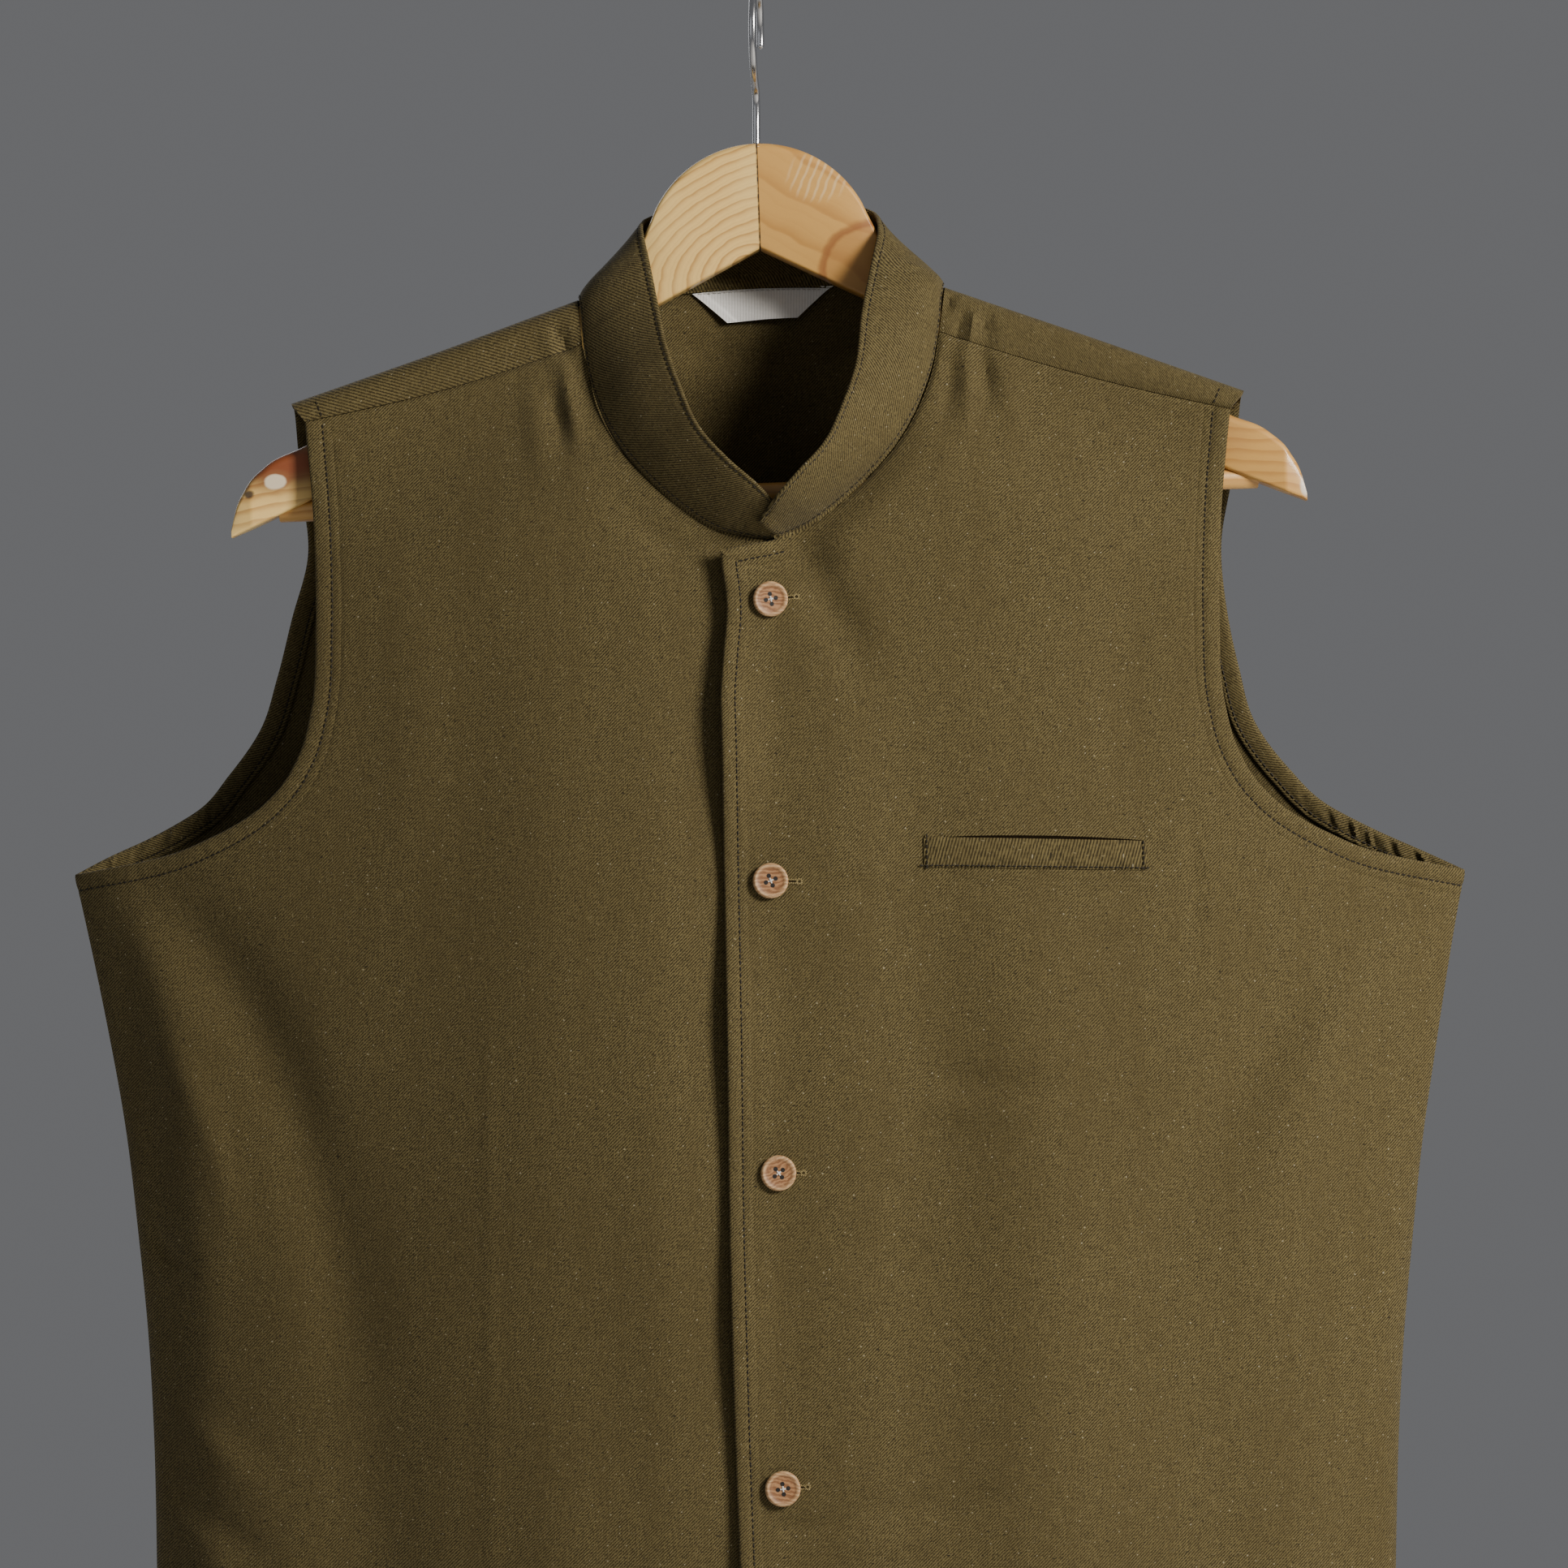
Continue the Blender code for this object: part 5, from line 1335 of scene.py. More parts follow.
def buttonholes(thread, shade):
    """A worked hole at each button: a slit drawn as a thin sheet of painted shade, an eyelet at its end, and
    thread whipped round both.
    """
    blocks = []
    for (across, level), (reach, rise) in zip(BUTTON_PLACES, EYELETS):
        run = np.array((reach, rise))
        length = np.linalg.norm(run)
        along = run / length
        aside = np.array((-along[1], along[0]))
        middle = np.array((across, level))
        slit = middle + np.outer(np.linspace(3.0, length, 14), along)
        starts, ends = [], []
        for k, place in enumerate(np.arange(3.0, length - 1.0, 0.52)):
            wobble = 0.12 * math.sin(5.1 * k + reach)
            for side in (-1.0, 1.0):
                inner = middle + along * place + aside * side * 0.22
                whip = 1.15 + 0.18 * math.sin(2.3 * k + side)
                outer = middle + along * (place + wobble) + aside * side * whip
                starts.append(inner)
                ends.append(outer)
        eyelet = middle + along * length
        for k in range(13):
            angle = 2.0 * math.pi * k / 13.0
            way = along * math.cos(angle) + aside * math.sin(angle)
            starts.append(eyelet + way * 0.5)
            ends.append(eyelet + way * (1.55 + 0.2 * math.sin(3.7 * k + reach)))
        starts, ends = np.array(starts), np.array(ends)
        start_points, ups = on_cloth(over_y, 1, starts[:, 0], starts[:, 1], np.full(len(starts), 0.2))
        end_points, _ = on_cloth(over_y, 1, ends[:, 0], ends[:, 1], np.full(len(ends), 0.12))
        blocks.append(thread_block(start_points, end_points, ups, 0.25, 0.2))
        # The slit: a thin sheet in painted shade, standing for the shadow in the cut.
        rows = []
        for offset in (-0.3, 0.3):
            rows.append(slit + aside * offset)
        rows = np.array(rows)
        top, _ = on_cloth(over_y, 1, rows[..., 0], rows[..., 1], np.full(rows.shape[:2], 0.08))
        low, _ = on_cloth(over_y, 1, rows[..., 0], rows[..., 1], np.full(rows.shape[:2], -0.3))
        blocks.append(wall(top.reshape(-1, 3), low.reshape(-1, 3), grid_quads(2, len(slit)), None, 1))
    return make_piece("buttonholes", blocks, [thread, shade])


def arm_top(x):
    """Height of the arm's top edge."""
    if x <= BROW_END:
        return math.sqrt(BROW_RADIUS**2 - x * x) - BROW_RADIUS
    start = (BROW_END, math.sqrt(BROW_RADIUS**2 - BROW_END**2) - BROW_RADIUS)
    if x <= ARM_START[0]:
        a = start[0] - 2.0 * BROW_TO_ARM[0] + ARM_START[0]
        b = 2.0 * (BROW_TO_ARM[0] - start[0])
        t = (-b + math.sqrt(b * b - 4.0 * a * (start[0] - x))) / (2.0 * a)
        return mix(mix(start[1], BROW_TO_ARM[1], t), mix(BROW_TO_ARM[1], ARM_START[1], t), t)
    if x <= ARM_SHOULDER[0]:
        share = (x - ARM_START[0]) / (ARM_SHOULDER[0] - ARM_START[0])
        return mix(ARM_START[1], ARM_SHOULDER[1], share)
    return float(smooth(ARM_END_POINTS, x))


def arm_foot(x):
    """Height of the arm's lower edge: the notch, the slope, and the flatter run to the tip."""
    if x <= NOTCH_CORNER[0]:
        return mix(NOTCH_HEIGHT, NOTCH_CORNER[1], x / NOTCH_CORNER[0])
    if x <= ARM_HEEL[0]:
        return mix(NOTCH_CORNER[1], ARM_HEEL[1], (x - NOTCH_CORNER[0]) / (ARM_HEEL[0] - NOTCH_CORNER[0]))
    share = (x - ARM_HEEL[0]) / (ARM_TIP_FOOT[0] - ARM_HEEL[0])
    return mix(ARM_HEEL[1], ARM_TIP_FOOT[1], min(share, 1.0))


def on_hanger(x, y, z):
    """A point of the hanger, which hangs rolled a little about the top of its wood."""
    turned_x = x * math.cos(HANGER_ROLL) - z * math.sin(HANGER_ROLL)
    turned_z = x * math.sin(HANGER_ROLL) + z * math.cos(HANGER_ROLL)
    return turned_x, y, WOOD_TOP + turned_z


def hanger_arm(name, side, wood, node):
    """One half of the hanger, its long edges rounded over."""
    stations = np.r_[
        0.5 * JOINT_GAP,
        0.5 * JOINT_GAP + 0.25,
        np.linspace(1.6, NOTCH_CORNER[0], 32),
        np.linspace(43.0, ARM_START[0], 22),
        np.linspace(80.0, ARM_HEEL[0], 26),
        np.linspace(192.5, 222.6, 36),
    ]
    turns = np.linspace(0.0, 0.5 * math.pi, 6)
    sections, flat = [], []
    for number, x in enumerate(stations):
        top, foot = arm_top(x), arm_foot(x)
        by = min(WOOD_EDGE_ROUND, 0.3 * (top - foot))
        deep = WOOD_HALF_THICK * (1.0 if x < 214 else mix(1.0, 0.55, (x - 214) / 9.0))
        if number == 0:
            deep, top, foot = deep - 0.25, top - 0.25, foot + 0.25
        bow = float(arm_bow(x))
        low_by = 0.45 * by
        ring = [(deep - by + by * math.sin(t), top - by + by * math.cos(t)) for t in turns]
        ring += [(deep - low_by + low_by * math.cos(t), foot + low_by - low_by * math.sin(t)) for t in turns]
        ring += [(-y, z) for y, z in reversed(ring)]
        sections.append([on_hanger(side * x, bow + y, z) for y, z in ring])
        flat.append([(side * x, z) for y, z in ring])
    count = len(sections[0])
    points = [point for section in sections for point in section]
    faces = [tuple(reversed(range(count))), tuple(range(len(points) - count, len(points)))]
    for s in range(len(sections) - 1):
        for k in range(count):
            after = (k + 1) % count
            faces.append((s * count + k, s * count + after, (s + 1) * count + after, (s + 1) * count + k))
    block = Block(points, faces, np.array(flat).reshape(-1, 2))
    return make_piece(name, [block], [wood], [node], sharp=35.0)


def hanger_bar(wood):
    y = float(arm_bow(BAR_BOW_AT))
    sides = 40
    points = []
    for x, size in ((-BAR_HALF, 0.94), (-BAR_HALF + 0.5, 1.0), (BAR_HALF - 0.5, 1.0), (BAR_HALF, 0.94)):
        for k in range(sides):
            angle = 2.0 * math.pi * k / sides
            ring = y + size * BAR_RADIUS * math.cos(angle), BAR_LEVEL + size * BAR_RADIUS * math.sin(angle)
            points.append(on_hanger(x, *ring))
    faces = [tuple(reversed(range(sides))), tuple(range(3 * sides, 4 * sides))]
    for s in range(3):
        for k in range(sides):
            after = (k + 1) % sides
            faces.append((s * sides + k, s * sides + after, (s + 1) * sides + after, (s + 1) * sides + k))
    return make_piece("trouser_bar", [Block(points, faces)], [wood], ["hanger_bar"])


def hanger_hook(steel):
    """The bent wire hook, its free end rounded."""
    centre = WIRE_RADIUS - HOOK_RADIUS
    arc = []
    for k in range(61):
        angle = mix(HOOK_START, HOOK_END, k / 60.0)
        arc.append((HOOK_RADIUS * math.cos(angle), centre + HOOK_RADIUS * math.sin(angle)))
    route = trace(list(HOOK_STEM) + arc, 180)
    way = np.gradient(route, axis=0)
    way /= np.linalg.norm(way, axis=1, keepdims=True)
    from_end = lengths_of(route)[-1] - lengths_of(route)
    from_dome = 1.0 - np.clip(from_end / WIRE_RADIUS, 0.03, 1.0)
    radius = WIRE_RADIUS * np.sqrt(np.clip(1.0 - from_dome**2, 0.0, 1.0))
    sides = 20
    points = []
    for (out, z), (turn_out, turn_z), r in zip(route, way, radius):
        for k in range(sides):
            angle = 2.0 * math.pi * k / sides
            away, aside = r * math.cos(angle), r * math.sin(angle)
            o, h = out - turn_z * away, z + turn_out * away
            x = -o * math.sin(HOOK_TURN) + aside * math.cos(HOOK_TURN)
            y = -o * math.cos(HOOK_TURN) - aside * math.sin(HOOK_TURN)
            points.append((x, y, h))
    faces = [tuple(reversed(range(sides))), tuple(range(len(points) - sides, len(points)))]
    for s in range(len(route) - 1):
        for k in range(sides):
            after = (k + 1) % sides
            faces.append((s * sides + k, s * sides + after, (s + 1) * sides + after, (s + 1) * sides + k))
    return make_piece("wire_hook", [Block(points, faces)], [steel], ["hanger_hook"])


class Value:
    """A number that varies over a surface, so that its maths reads as plain expressions."""

    def __init__(self, finish, socket):
        self.finish = finish
        self.socket = socket

    def maths(self, operation, *others):
        return self.finish.maths(operation, self, *others)

    def __add__(self, other):
        return self.maths("ADD", other)

    def __sub__(self, other):
        return self.maths("SUBTRACT", other)

    def __mul__(self, other):
        return self.maths("MULTIPLY", other)

    def __truediv__(self, other):
        return self.maths("DIVIDE", other)

    def __pow__(self, other):
        return self.maths("POWER", other)

    def __rsub__(self, other):
        return self.finish.maths("SUBTRACT", other, self)

    __radd__ = __add__
    __rmul__ = __mul__


class Finish:
    """A material and the nodes that paint it."""

    def __init__(self, name, constants):
        self.material = bpy.data.materials.new(name)
        self.material.use_nodes = True
        self.tree = self.material.node_tree
        self.shader = self.tree.nodes["Principled BSDF"]
        for socket, value in constants.items():
            self.shader.inputs[socket].default_value = value

    def node(self, kind, settings, sockets, output=0):
        """Any node: its settings first, then the values or links of its sockets."""
        made = self.tree.nodes.new(kind)
        for name, value in settings.items():
            if name == "stops":
                while len(made.color_ramp.elements) < len(value):
                    made.color_ramp.elements.new(0.5)
                for element, (position, colour) in zip(made.color_ramp.elements, value):
                    element.position = position
                    element.color = (*colour, 1.0)
            else:
                setattr(made, name, value)
        for socket, value in sockets.items():
            if isinstance(value, Value):
                self.tree.links.new(value.socket, made.inputs[socket])
            else:
                made.inputs[socket].default_value = value
        return Value(self, made.outputs[output])

    def maths(self, operation, *values):
        return self.node("ShaderNodeMath", {"operation": operation}, dict(enumerate(values)))

    def blend(self, share, first, second):
        """Between two colours."""
        pair = [value if isinstance(value, Value) else (*value, 1.0) for value in (first, second)]
        return self.node("ShaderNodeMix", {"data_type": "RGBA"}, {0: share, 6: pair[0], 7: pair[1]}, 2)

    def spot(self, x, y, z=0.0):
        return self.node("ShaderNodeCombineXYZ", {}, {0: x, 1: y, 2: z})

    def noise(self, place, scale, detail=2.0, roughness=0.5):
        sockets = {"Vector": place, "Scale": scale, "Detail": detail, "Roughness": roughness}
        return self.node("ShaderNodeTexNoise", {}, sockets)

    def flat(self, name="cut"):
        """Two numbers: the place on the flat cloth, in millimetres."""
        place = self.node("ShaderNodeUVMap", {"uv_map": name}, {})
        return [self.node("ShaderNodeSeparateXYZ", {}, {0: place}, axis) * 1000.0 for axis in (0, 1)]

    def room(self):
        """Three numbers: the place in space, in millimetres."""
        place = self.node("ShaderNodeTexCoord", {}, {}, 3)
        return [self.node("ShaderNodeSeparateXYZ", {}, {0: place}, axis) * 1000.0 for axis in (0, 1, 2)]

    def over(self, low, high, value):
        """0 below low, 1 above high."""
        sockets = {0: value, 1: low, 2: high, 3: 0.0, 4: 1.0}
        return self.node("ShaderNodeMapRange", {"interpolation_type": "SMOOTHSTEP"}, sockets)

    def paint(self, socket, value):
        self.tree.links.new(value.socket, self.shader.inputs[socket])

    def relief(self, height, distance, strength=1.0):
        values = {"Strength": strength, "Distance": distance * MM, "Height": height}
        bump = self.node("ShaderNodeBump", {}, values)
        self.paint("Normal", bump)


def cloth_finish(name):
    """Fine olive cloth: a slanting weave, threads of uneven thickness, and pale slubs."""
    finish = Finish(name, {"Sheen Weight": 0.05, "Sheen Roughness": 0.5, "Specular IOR Level": 0.22})
    x, y = finish.flat()
    along, over = (x + y) * 0.7071, (x - y) * 0.7071
    twill = finish.noise(finish.spot(over * 2.0, along * 0.7, 1.0), 1.0, 2.0, 0.6)
    upright = finish.noise(finish.spot(x * 2.2, y * 0.12, 3.0), 1.0, 2.0, 0.6)
    level = finish.noise(finish.spot(x * 0.12, y * 2.2, 9.0), 1.0, 2.0, 0.6)
    dots = finish.noise(finish.spot(x * 2.0, y * 2.0, 5.0), 1.0, 1.0, 0.5)
    slant = finish.maths("SINE", over * 6.614 + upright * 2.2)
    weave = twill * 0.34 + upright * 0.18 + level * 0.18 + dots * 0.12 + slant * 0.09 + 0.09
    shade = finish.over(0.39, 0.62, weave)
    colour = finish.blend(shade, CLOTH_DARK, CLOTH_LIGHT)
    band = finish.noise(finish.spot(x * 0.11, y * 0.006, 12.0), 1.0, 2.0, 0.6)
    cloudy = finish.noise(finish.spot(x * 0.012, y * 0.012, 2.0), 1.0, 3.0, 0.55)
    colour = finish.blend(finish.over(0.35, 0.7, band * 0.5 + cloudy * 0.5) * 0.4, colour, CLOTH_SHADE)
    long_slub = finish.noise(finish.spot(x * 0.35, y * 2.6, 17.0), 1.0, 0.0)
    tall_slub = finish.noise(finish.spot(x * 2.6, y * 0.35, 23.0), 1.0, 0.0)
    rare = finish.noise(finish.spot(x * 0.09, y * 0.09, 31.0), 1.0, 1.0)
    slub = finish.over(0.745, 0.82, finish.maths("MAXIMUM", long_slub, tall_slub) + rare * 0.14 - 0.07)
    colour = finish.blend(slub * 0.4, colour, CLOTH_SLUB)
    specks = finish.over(0.808, 0.84, finish.noise(finish.spot(x * 0.8, y * 0.8, 41.0), 1.0, 0.0))
    colour = finish.blend(specks * 0.5, colour, CLOTH_SPECK)
    flecks = finish.over(0.80, 0.83, finish.noise(finish.spot(x * 0.45, y * 0.8, 57.0), 1.0, 0.0))
    colour = finish.blend(flecks * 0.7, colour, CLOTH_FLECK)
    finish.paint("Base Color", colour)
    finish.paint("Roughness", 0.93 - weave * 0.16)
    finish.relief(weave + slub * 0.5, 0.22, 0.8)
    return finish.material


def thread_finish(name, dark, light):
    finish = Finish(name, {"Specular IOR Level": 0.35})
    x, y, z = finish.room()
    twist = finish.maths("SINE", (x + z) * 9.0 + finish.noise(finish.spot(x, y, z), 0.6) * 4.0)
    share = finish.over(-1.0, 1.0, twist)
    finish.paint("Base Color", finish.blend(share, dark, light))
    finish.paint("Roughness", 0.8 - share * 0.15)
    finish.relief(twist, 0.05, 0.6)
    return finish.material


def label_finish():
    """White ribbed ribbon."""
    finish = Finish("label_ribbon", {"Sheen Weight": 0.2, "Specular IOR Level": 0.3})
    x, y = finish.flat()
    rib = finish.maths("SINE", x * 5.2 + finish.noise(finish.spot(x * 0.3, y * 0.3), 1.0) * 0.8)
    cross = finish.maths("SINE", y * 14.0)
    weave = rib * 0.5 + cross * 0.3 + finish.noise(finish.spot(x * 1.2, y * 0.4), 1.0, 2.0)
    share = finish.over(-0.5, 1.4, weave)
    finish.paint("Base Color", finish.blend(share, (0.76, 0.75, 0.72), (0.94, 0.93, 0.90)))
    finish.paint("Roughness", 0.75 - share * 0.2)
    finish.relief(weave, 0.08, 0.6)
    return finish.material


def shade_finish():
    """Painted shade: a near-black finish for the thin sheets that stand for the shadow inside a slit."""
    finish = Finish("slit_shade", {"Roughness": 1.0, "Specular IOR Level": 0.0})
    x, y, z = finish.room()
    share = finish.noise(finish.spot(x, y, z), 0.8)
    finish.paint("Base Color", finish.blend(share, (0.006, 0.004, 0.002), (0.016, 0.011, 0.006)))
    return finish.material


def button_finish():
    """Turned light wood with a swirled grain and a paler rim, with painted shade in its holes and along its
    groove.
    """
    finish = Finish("turned_wood", {"Specular IOR Level": 0.45})
    x, y = finish.flat()
    wide_x, _, wide_z = finish.room()
    swirl = finish.noise(finish.spot(wide_x * 0.10, wide_z * 0.16, 2.0), 1.0, 3.0, 0.6)
    grain = finish.maths("SINE", (x * 1.2 + y * 3.4) + swirl * 26.0)
    fibre = finish.noise(finish.spot(x * 0.8, y * 3.2, wide_z * 0.05), 1.0, 4.0, 0.65)
    radius = finish.maths("SQRT", x * x + y * y)
    rim = finish.over(5.0, 6.2, radius)
    share = finish.over(-0.2, 1.5, grain * 0.45 + fibre)
    face = finish.blend(share, (0.20, 0.082, 0.028), (0.46, 0.245, 0.110))
    edge = finish.blend(share, (0.36, 0.20, 0.09), (0.60, 0.40, 0.215))
    colour = finish.blend(rim, face, edge)
    # Painted shade: a darker ring where the groove at the foot of the rim lies.
    groove_shade = finish.over(0.0, 0.5, 0.5 - finish.maths("ABSOLUTE", radius - 5.1)) * 0.35
    # Painted shade: the wood round and inside each of the four holes is painted near black, as if in shadow.
    right_left, up_down = finish.maths("ABSOLUTE", x), finish.maths("ABSOLUTE", y)
    outwards = finish.maths("MAXIMUM", right_left, up_down) - BUTTON_HOLE_OFFSET
    aside = finish.maths("MINIMUM", right_left, up_down)
    from_hole = finish.maths("SQRT", outwards * outwards + aside * aside)
    hole = 1.0 - finish.over(0.80, 1.05, from_hole)
    colour = finish.blend(groove_shade, colour, (0.16, 0.08, 0.035))
    finish.paint("Base Color", finish.blend(hole, colour, (0.008, 0.005, 0.003)))
    finish.paint("Roughness", 0.42 + fibre * 0.2)
    finish.relief(grain * 0.3 + fibre, 0.10, 0.5)
    return finish.material


def pine_finish(name, middle, lean, stretch, ring, bent, tones, marks=(), streak=None, ripple=None):
    """Varnished pine cut slantwise, so that its growth rings show as long loops that lean one way."""
    finish = Finish(name, {"Specular IOR Level": 0.5, "Coat Roughness": 0.12})
    x, z = finish.flat()
    warp = finish.noise(finish.spot(x * 0.018, z * 0.03, 4.0), 1.0, 2.0) - 0.5
    fine = finish.noise(finish.spot(x * 0.09, z * 0.16, 8.0), 1.0, 2.0) - 0.5
    off_x, off_z = x - middle[0], z - middle[1]
    long_way = (off_x * math.cos(lean) + off_z * math.sin(lean)) * stretch
    short_way = off_z * math.cos(lean) - off_x * math.sin(lean)
    radius = finish.maths("SQRT", long_way * long_way + short_way * short_way) + warp * bent + fine * 1.6
    phase = finish.maths("FRACT", radius / ring)
    late = finish.over(0.50, 0.93, phase) * (1.0 - finish.over(0.945, 1.0, phase))
    second = finish.maths("FRACT", radius / ring * 3.0 + 0.2)
    late = late * 0.85 + finish.over(0.5, 0.95, second) * 0.16
    tip = finish.over(120.0, 150.0, finish.maths("ABSOLUTE", x))
    lines = finish.maths("FRACT", (z - finish.maths("ABSOLUTE", x) * -0.12 + warp * 9.0 + fine * 2.0) / 4.6)
    lines = finish.over(0.35, 0.92, lines) * (1.0 - finish.over(0.93, 1.0, lines))
    late = late * (1.0 - tip) + lines * tip
    fibre = finish.noise(finish.spot(long_way * 0.12, short_way * 2.2, 6.0), 1.0, 4.0, 0.6)
    mottle = finish.noise(finish.spot(x * 0.55, z * 0.55, 3.0), 1.0, 3.0, 0.6)
    pale, dark, glow = tones
    colour = finish.blend(late * 0.62 + fibre * 0.16 + mottle * 0.12, pale, dark)
    cloudy = finish.noise(finish.spot(x * 0.03, z * 0.03, 12.0), 1.0, 2.0)
    colour = finish.blend(finish.over(0.35, 0.75, cloudy) * 0.4, colour, glow)
    if streak:
        (around_x, around_z), bow, wide, strength = streak
        to_x, to_z = x - around_x, z - around_z
        away = finish.maths("SQRT", to_x * to_x + to_z * to_z) - bow + fine * 3.0
        band = 1.0 - finish.over(0.2, 1.0, finish.maths("ABSOLUTE", away) / wide)
        band = band * (1.0 - finish.over(-2.0, 14.0, to_z * -1.0)) * (1.0 - finish.over(4.0, 16.0, to_x))
        # Inside the streak's ring the wood is painted darker and redder: painted shade near the collar, on
        # top of the streak itself.
        inside = 1.0 - finish.over(-3.0, 1.0, away)
        colour = finish.blend(inside * 0.35 + band * strength, colour, (0.30, 0.105, 0.025))
    if ripple:
        (there_x, there_z), (wide, high), pitch = ripple
        near_x, near_z = (x - there_x) / wide, (z - there_z) / high
        mask = 1.0 - finish.over(0.3, 1.0, near_x * near_x + near_z * near_z)
        turns = (x - z * 0.45 + fine * 2.0) * (2.0 * math.pi / pitch)
        wave = finish.over(0.1, 1.0, finish.maths("SINE", turns))
        # Pale stripes over the ripple figure: partly the grain's own figure, partly painted highlight.
        colour = finish.blend(mask * wave * 0.45, colour, (0.86, 0.66, 0.36))
    for (spot_x, spot_z), (size_x, size_z), edge, mark_colour, strength in marks:
        from_x = (x - spot_x + fine * 3.0) / size_x
        from_z = (z - spot_z + fine * 2.0) / size_z
        away = finish.maths("SQRT", from_x * from_x + from_z * from_z)
        mask = 1.0 - finish.over(1.0 - edge, 1.0 + edge, away)
        colour = finish.blend(mask * strength, colour, mark_colour)
    glue = 1.0 - finish.over(0.2, 0.55, finish.maths("ABSOLUTE", x))
    dashes = finish.over(0.35, 0.6, finish.noise(finish.spot(0.0, z * 0.42, 5.0), 1.0, 1.0))
    colour = finish.blend(glue * (0.45 + dashes * 0.5), colour, (0.055, 0.028, 0.012))
    finish.paint("Base Color", colour)
    finish.paint("Roughness", 0.40 + fibre * 0.14)
    finish.paint("Coat Weight", 0.25 + cloudy * 0.2)
    finish.relief(late * 0.4 + fibre * 0.8, 0.06, 0.6)
    return finish.material


def steel_finish():
    finish = Finish("bright_wire", {"Metallic": 1.0})
    x, y, z = finish.room()
    streak = finish.noise(finish.spot(x * 3.0, y * 3.0, z * 0.15), 1.0, 3.0)
    finish.paint("Base Color", finish.blend(streak, (0.50, 0.50, 0.51), (0.78, 0.78, 0.79)))
    finish.paint("Roughness", 0.12 + streak * 0.16)
    return finish.material


def floor_finish():
    finish = Finish("pale_floor", {"Specular IOR Level": 0.2})
    x, y, _ = finish.room()
    share = finish.noise(finish.spot(x * 0.004, y * 0.004), 1.0, 3.0)
    finish.paint("Base Color", finish.blend(share, (0.70, 0.69, 0.67), (0.74, 0.73, 0.71)))
    finish.paint("Roughness", 0.75 + share * 0.1)
    return finish.material


def studio():
    """A pale floor well below, soft light from the right of the front, and the camera."""
    floor_mesh = bpy.data.meshes.new("floor")
    ring = [(2.9 * math.cos(a), 2.9 * math.sin(a), -1.22) for a in np.linspace(0.0, 2.0 * math.pi, 65)[:-1]]
    floor_mesh.from_pydata(ring, [], [tuple(range(64))])
    floor_mesh.materials.append(floor_finish())
    floor = bpy.data.objects.new("floor", floor_mesh)
    bpy.context.scene.collection.objects.link(floor)
    world = bpy.data.worlds.new("pale_room")
    bpy.context.scene.world = world
    world.use_nodes = True
    sky = world.node_tree.nodes["Background"]
    sky.inputs["Color"].default_value = (0.95, 0.96, 1.0, 1.0)
    sky.inputs["Strength"].default_value = 0.15
    lamps = (
        ("key", (1.66, -1.44, 0.50), (0.7, 0.7), 76.0, (1.0, 0.96, 0.90)),
        ("fill", (-1.9, -1.6, 0.2), (1.4, 1.4), 3.0, (0.95, 0.97, 1.0)),
        ("behind", (-0.9, 2.6, 0.9), (1.6, 1.6), 14.0, (0.98, 0.98, 1.0)),
    )
    for name, place, size, watts, colour in lamps:
        light = bpy.data.lights.new(name, "AREA")
        light.shape = "RECTANGLE"
        light.size, light.size_y = size
        light.energy = watts
        light.color = colour
        lamp = bpy.data.objects.new(name, light)
        lamp.location = place
        towards = Vector((0.0, 0.0, -0.38)) - Vector(place)
        lamp.rotation_euler = towards.to_track_quat("-Z", "Y").to_euler()
        bpy.context.scene.collection.objects.link(lamp)
    lens = bpy.data.cameras.new("eye")
    lens.sensor_fit = "HORIZONTAL"
    lens.sensor_width = SENSOR
    lens.lens = 0.5 * SENSOR / HALF_VIEW
    lens.clip_end = 20.0
    eye = bpy.data.objects.new("eye", lens)
    eye.location = EYE
    eye.rotation_euler = Euler((math.radians(90.0), 0.0, 0.0))
    bpy.context.scene.collection.objects.link(eye)
    bpy.context.scene.camera = eye


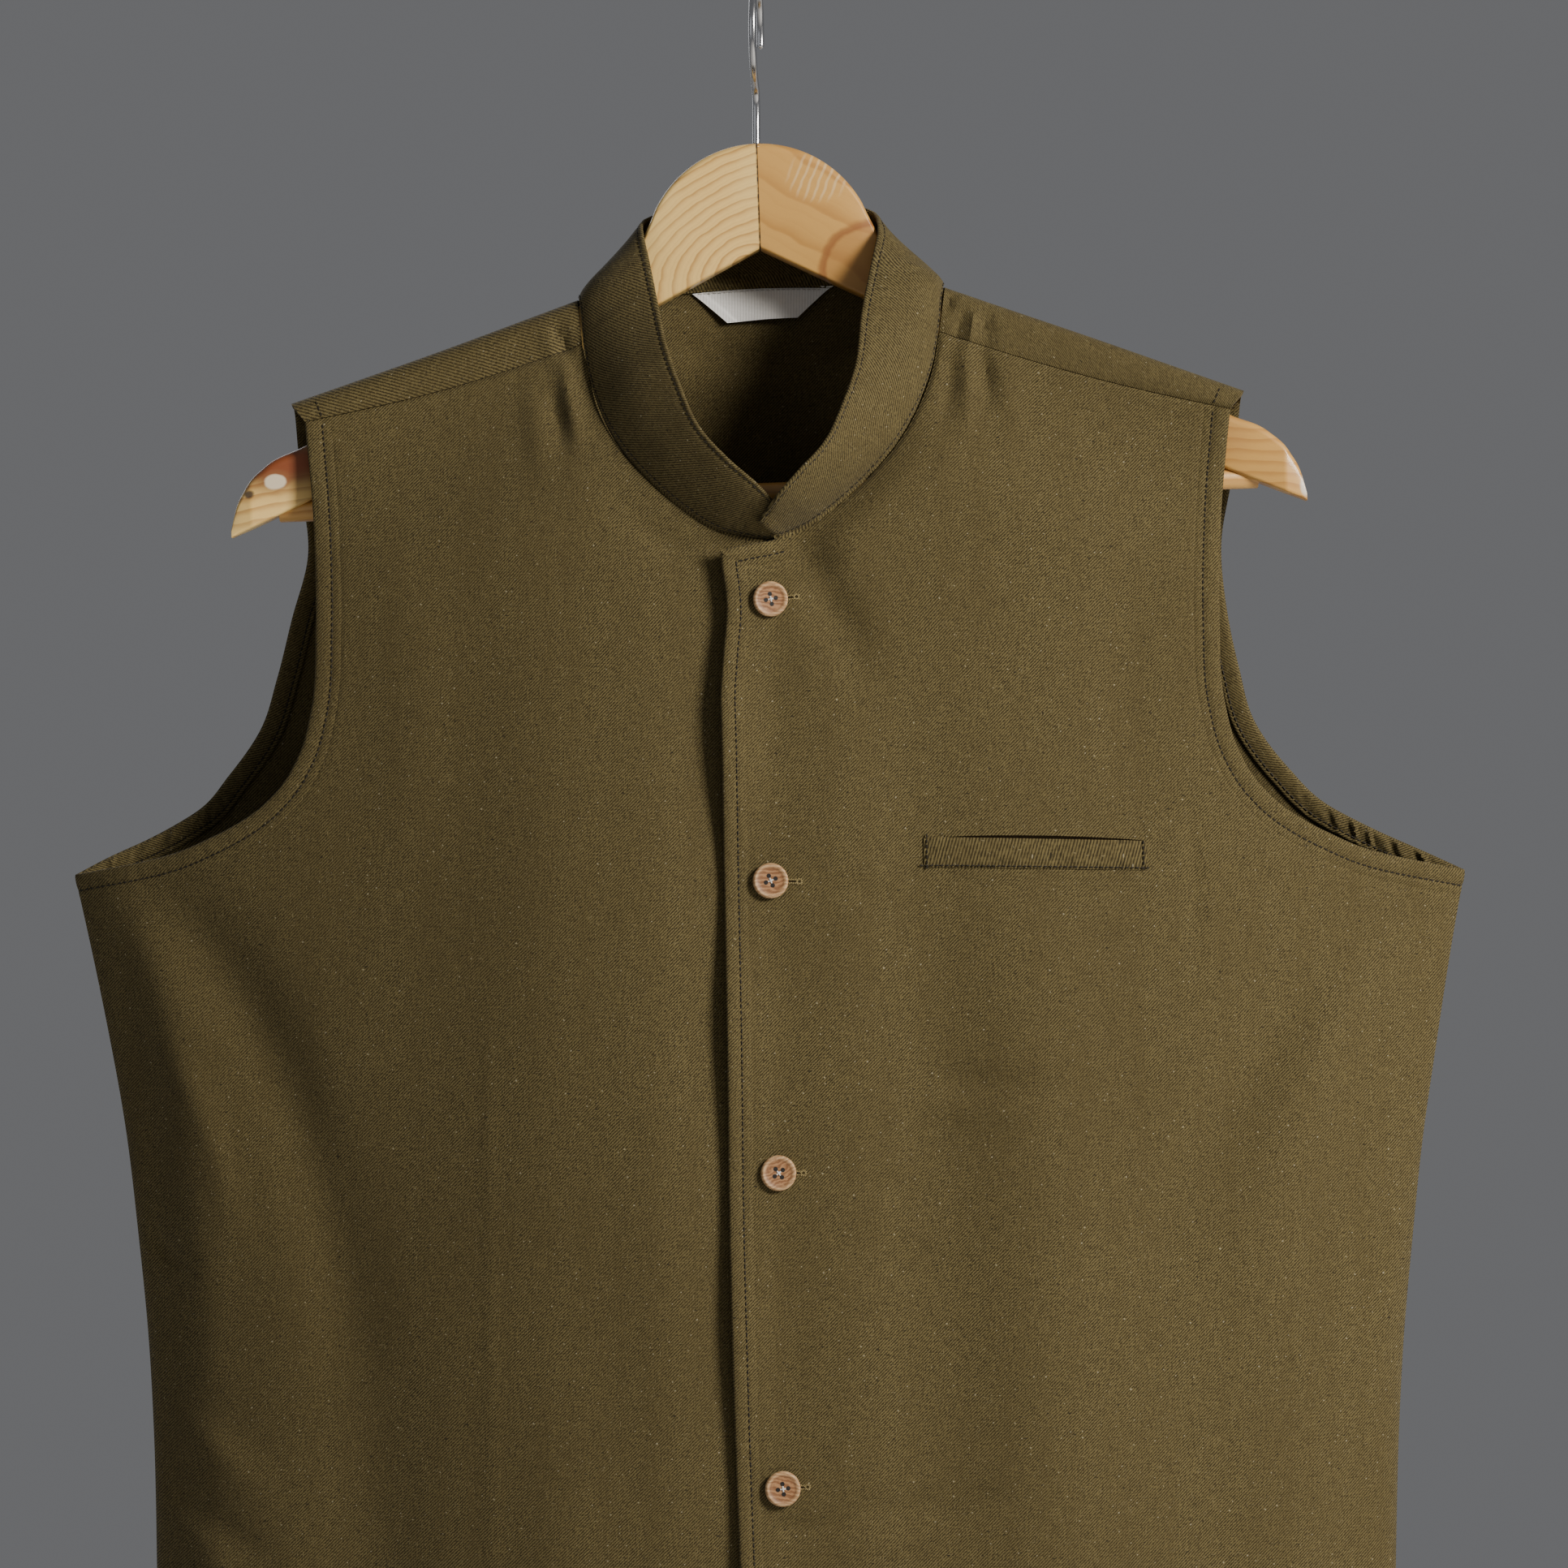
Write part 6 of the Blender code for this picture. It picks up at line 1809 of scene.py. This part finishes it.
def dress():
    """All the pieces, and the cut of each cloth piece."""
    cloth = cloth_finish("olive_linen")
    dark_thread = thread_finish("dark_thread", (0.010, 0.008, 0.005), (0.028, 0.021, 0.012))
    gold_thread = thread_finish("olive_gold_thread", (0.17, 0.125, 0.045), (0.34, 0.27, 0.12))
    white_thread = thread_finish("white_thread", (0.55, 0.53, 0.49), (0.82, 0.80, 0.76))
    shade = shade_finish()
    (over, over_sewn), (under, under_sewn), (back, back_sewn) = fronts_and_back(cloth, dark_thread)
    collar, collar_sewn = collar_piece(cloth, dark_thread)
    welt, welt_sewn = welt_piece(cloth, dark_thread, shade)
    label, label_sewn = label_piece(label_finish(), white_thread)
    strip_right, right_sewn = facing_piece(1, cloth, dark_thread)
    strip_left, left_sewn = facing_piece(-1, cloth, dark_thread)
    holes = buttonholes(gold_thread, shade)
    button_pieces(button_finish(), white_thread)
    tones = (0.98, 0.66, 0.215), (0.46, 0.21, 0.045), (0.98, 0.72, 0.28)
    warm_tones = (0.70, 0.39, 0.10), (0.46, 0.21, 0.045), (0.62, 0.33, 0.08)
    left_marks = (
        ((-204.0, -125.5), (24.0, 12.5), 0.6, (0.15, 0.040, 0.010), 0.95),
        ((-198.0, -127.5), (15.0, 5.5), 0.6, (0.26, 0.060, 0.014), 0.8),
        ((-203.0, -134.0), (5.3, 4.0), 0.25, (0.28, 0.10, 0.03), 0.8),
        ((-203.6, -134.8), (4.4, 3.1), 0.15, (0.78, 0.66, 0.46), 0.95),
        ((-214.8, -140.0), (1.9, 1.6), 0.4, (0.05, 0.03, 0.02), 0.9),
    )
    right_marks = (
        ((222.0, -151.0), (2.0, 4.4), 0.35, (0.80, 0.72, 0.60), 0.85),
        ((221.5, -143.5), (0.8, 3.2), 0.5, (0.12, 0.06, 0.03), 0.8),
        ((190.0, -131.0), (9.0, 7.0), 0.8, (0.40, 0.20, 0.07), 0.35),
    )
    left_grain = pine_finish(
        "pine_left", (-7.3, -51.0), math.radians(33.0), 0.62, 4.1, 6.0, tones, left_marks
    )
    # Its streak also paints shade inside its ring, near the collar.
    right_grain = pine_finish(
        "pine_right", (150.0, 20.0), math.radians(-28.0), 0.25, 15.0, 22.0, warm_tones, right_marks,
        streak=((46.0, -56.0), 20.7, 2.6, 0.75), ripple=((25.0, -15.0), (15.0, 12.0), 3.6),
    )
    bar_grain = pine_finish("pine_bar", (0.0, 300.0), 0.0, 0.02, 5.0, 8.0, warm_tones)
    hanger_arm("arm_left", -1, left_grain, "hanger_arm_left")
    hanger_arm("arm_right", 1, right_grain, "hanger_arm_right")
    hanger_bar(bar_grain)
    hanger_hook(steel_finish())


dress()
studio()
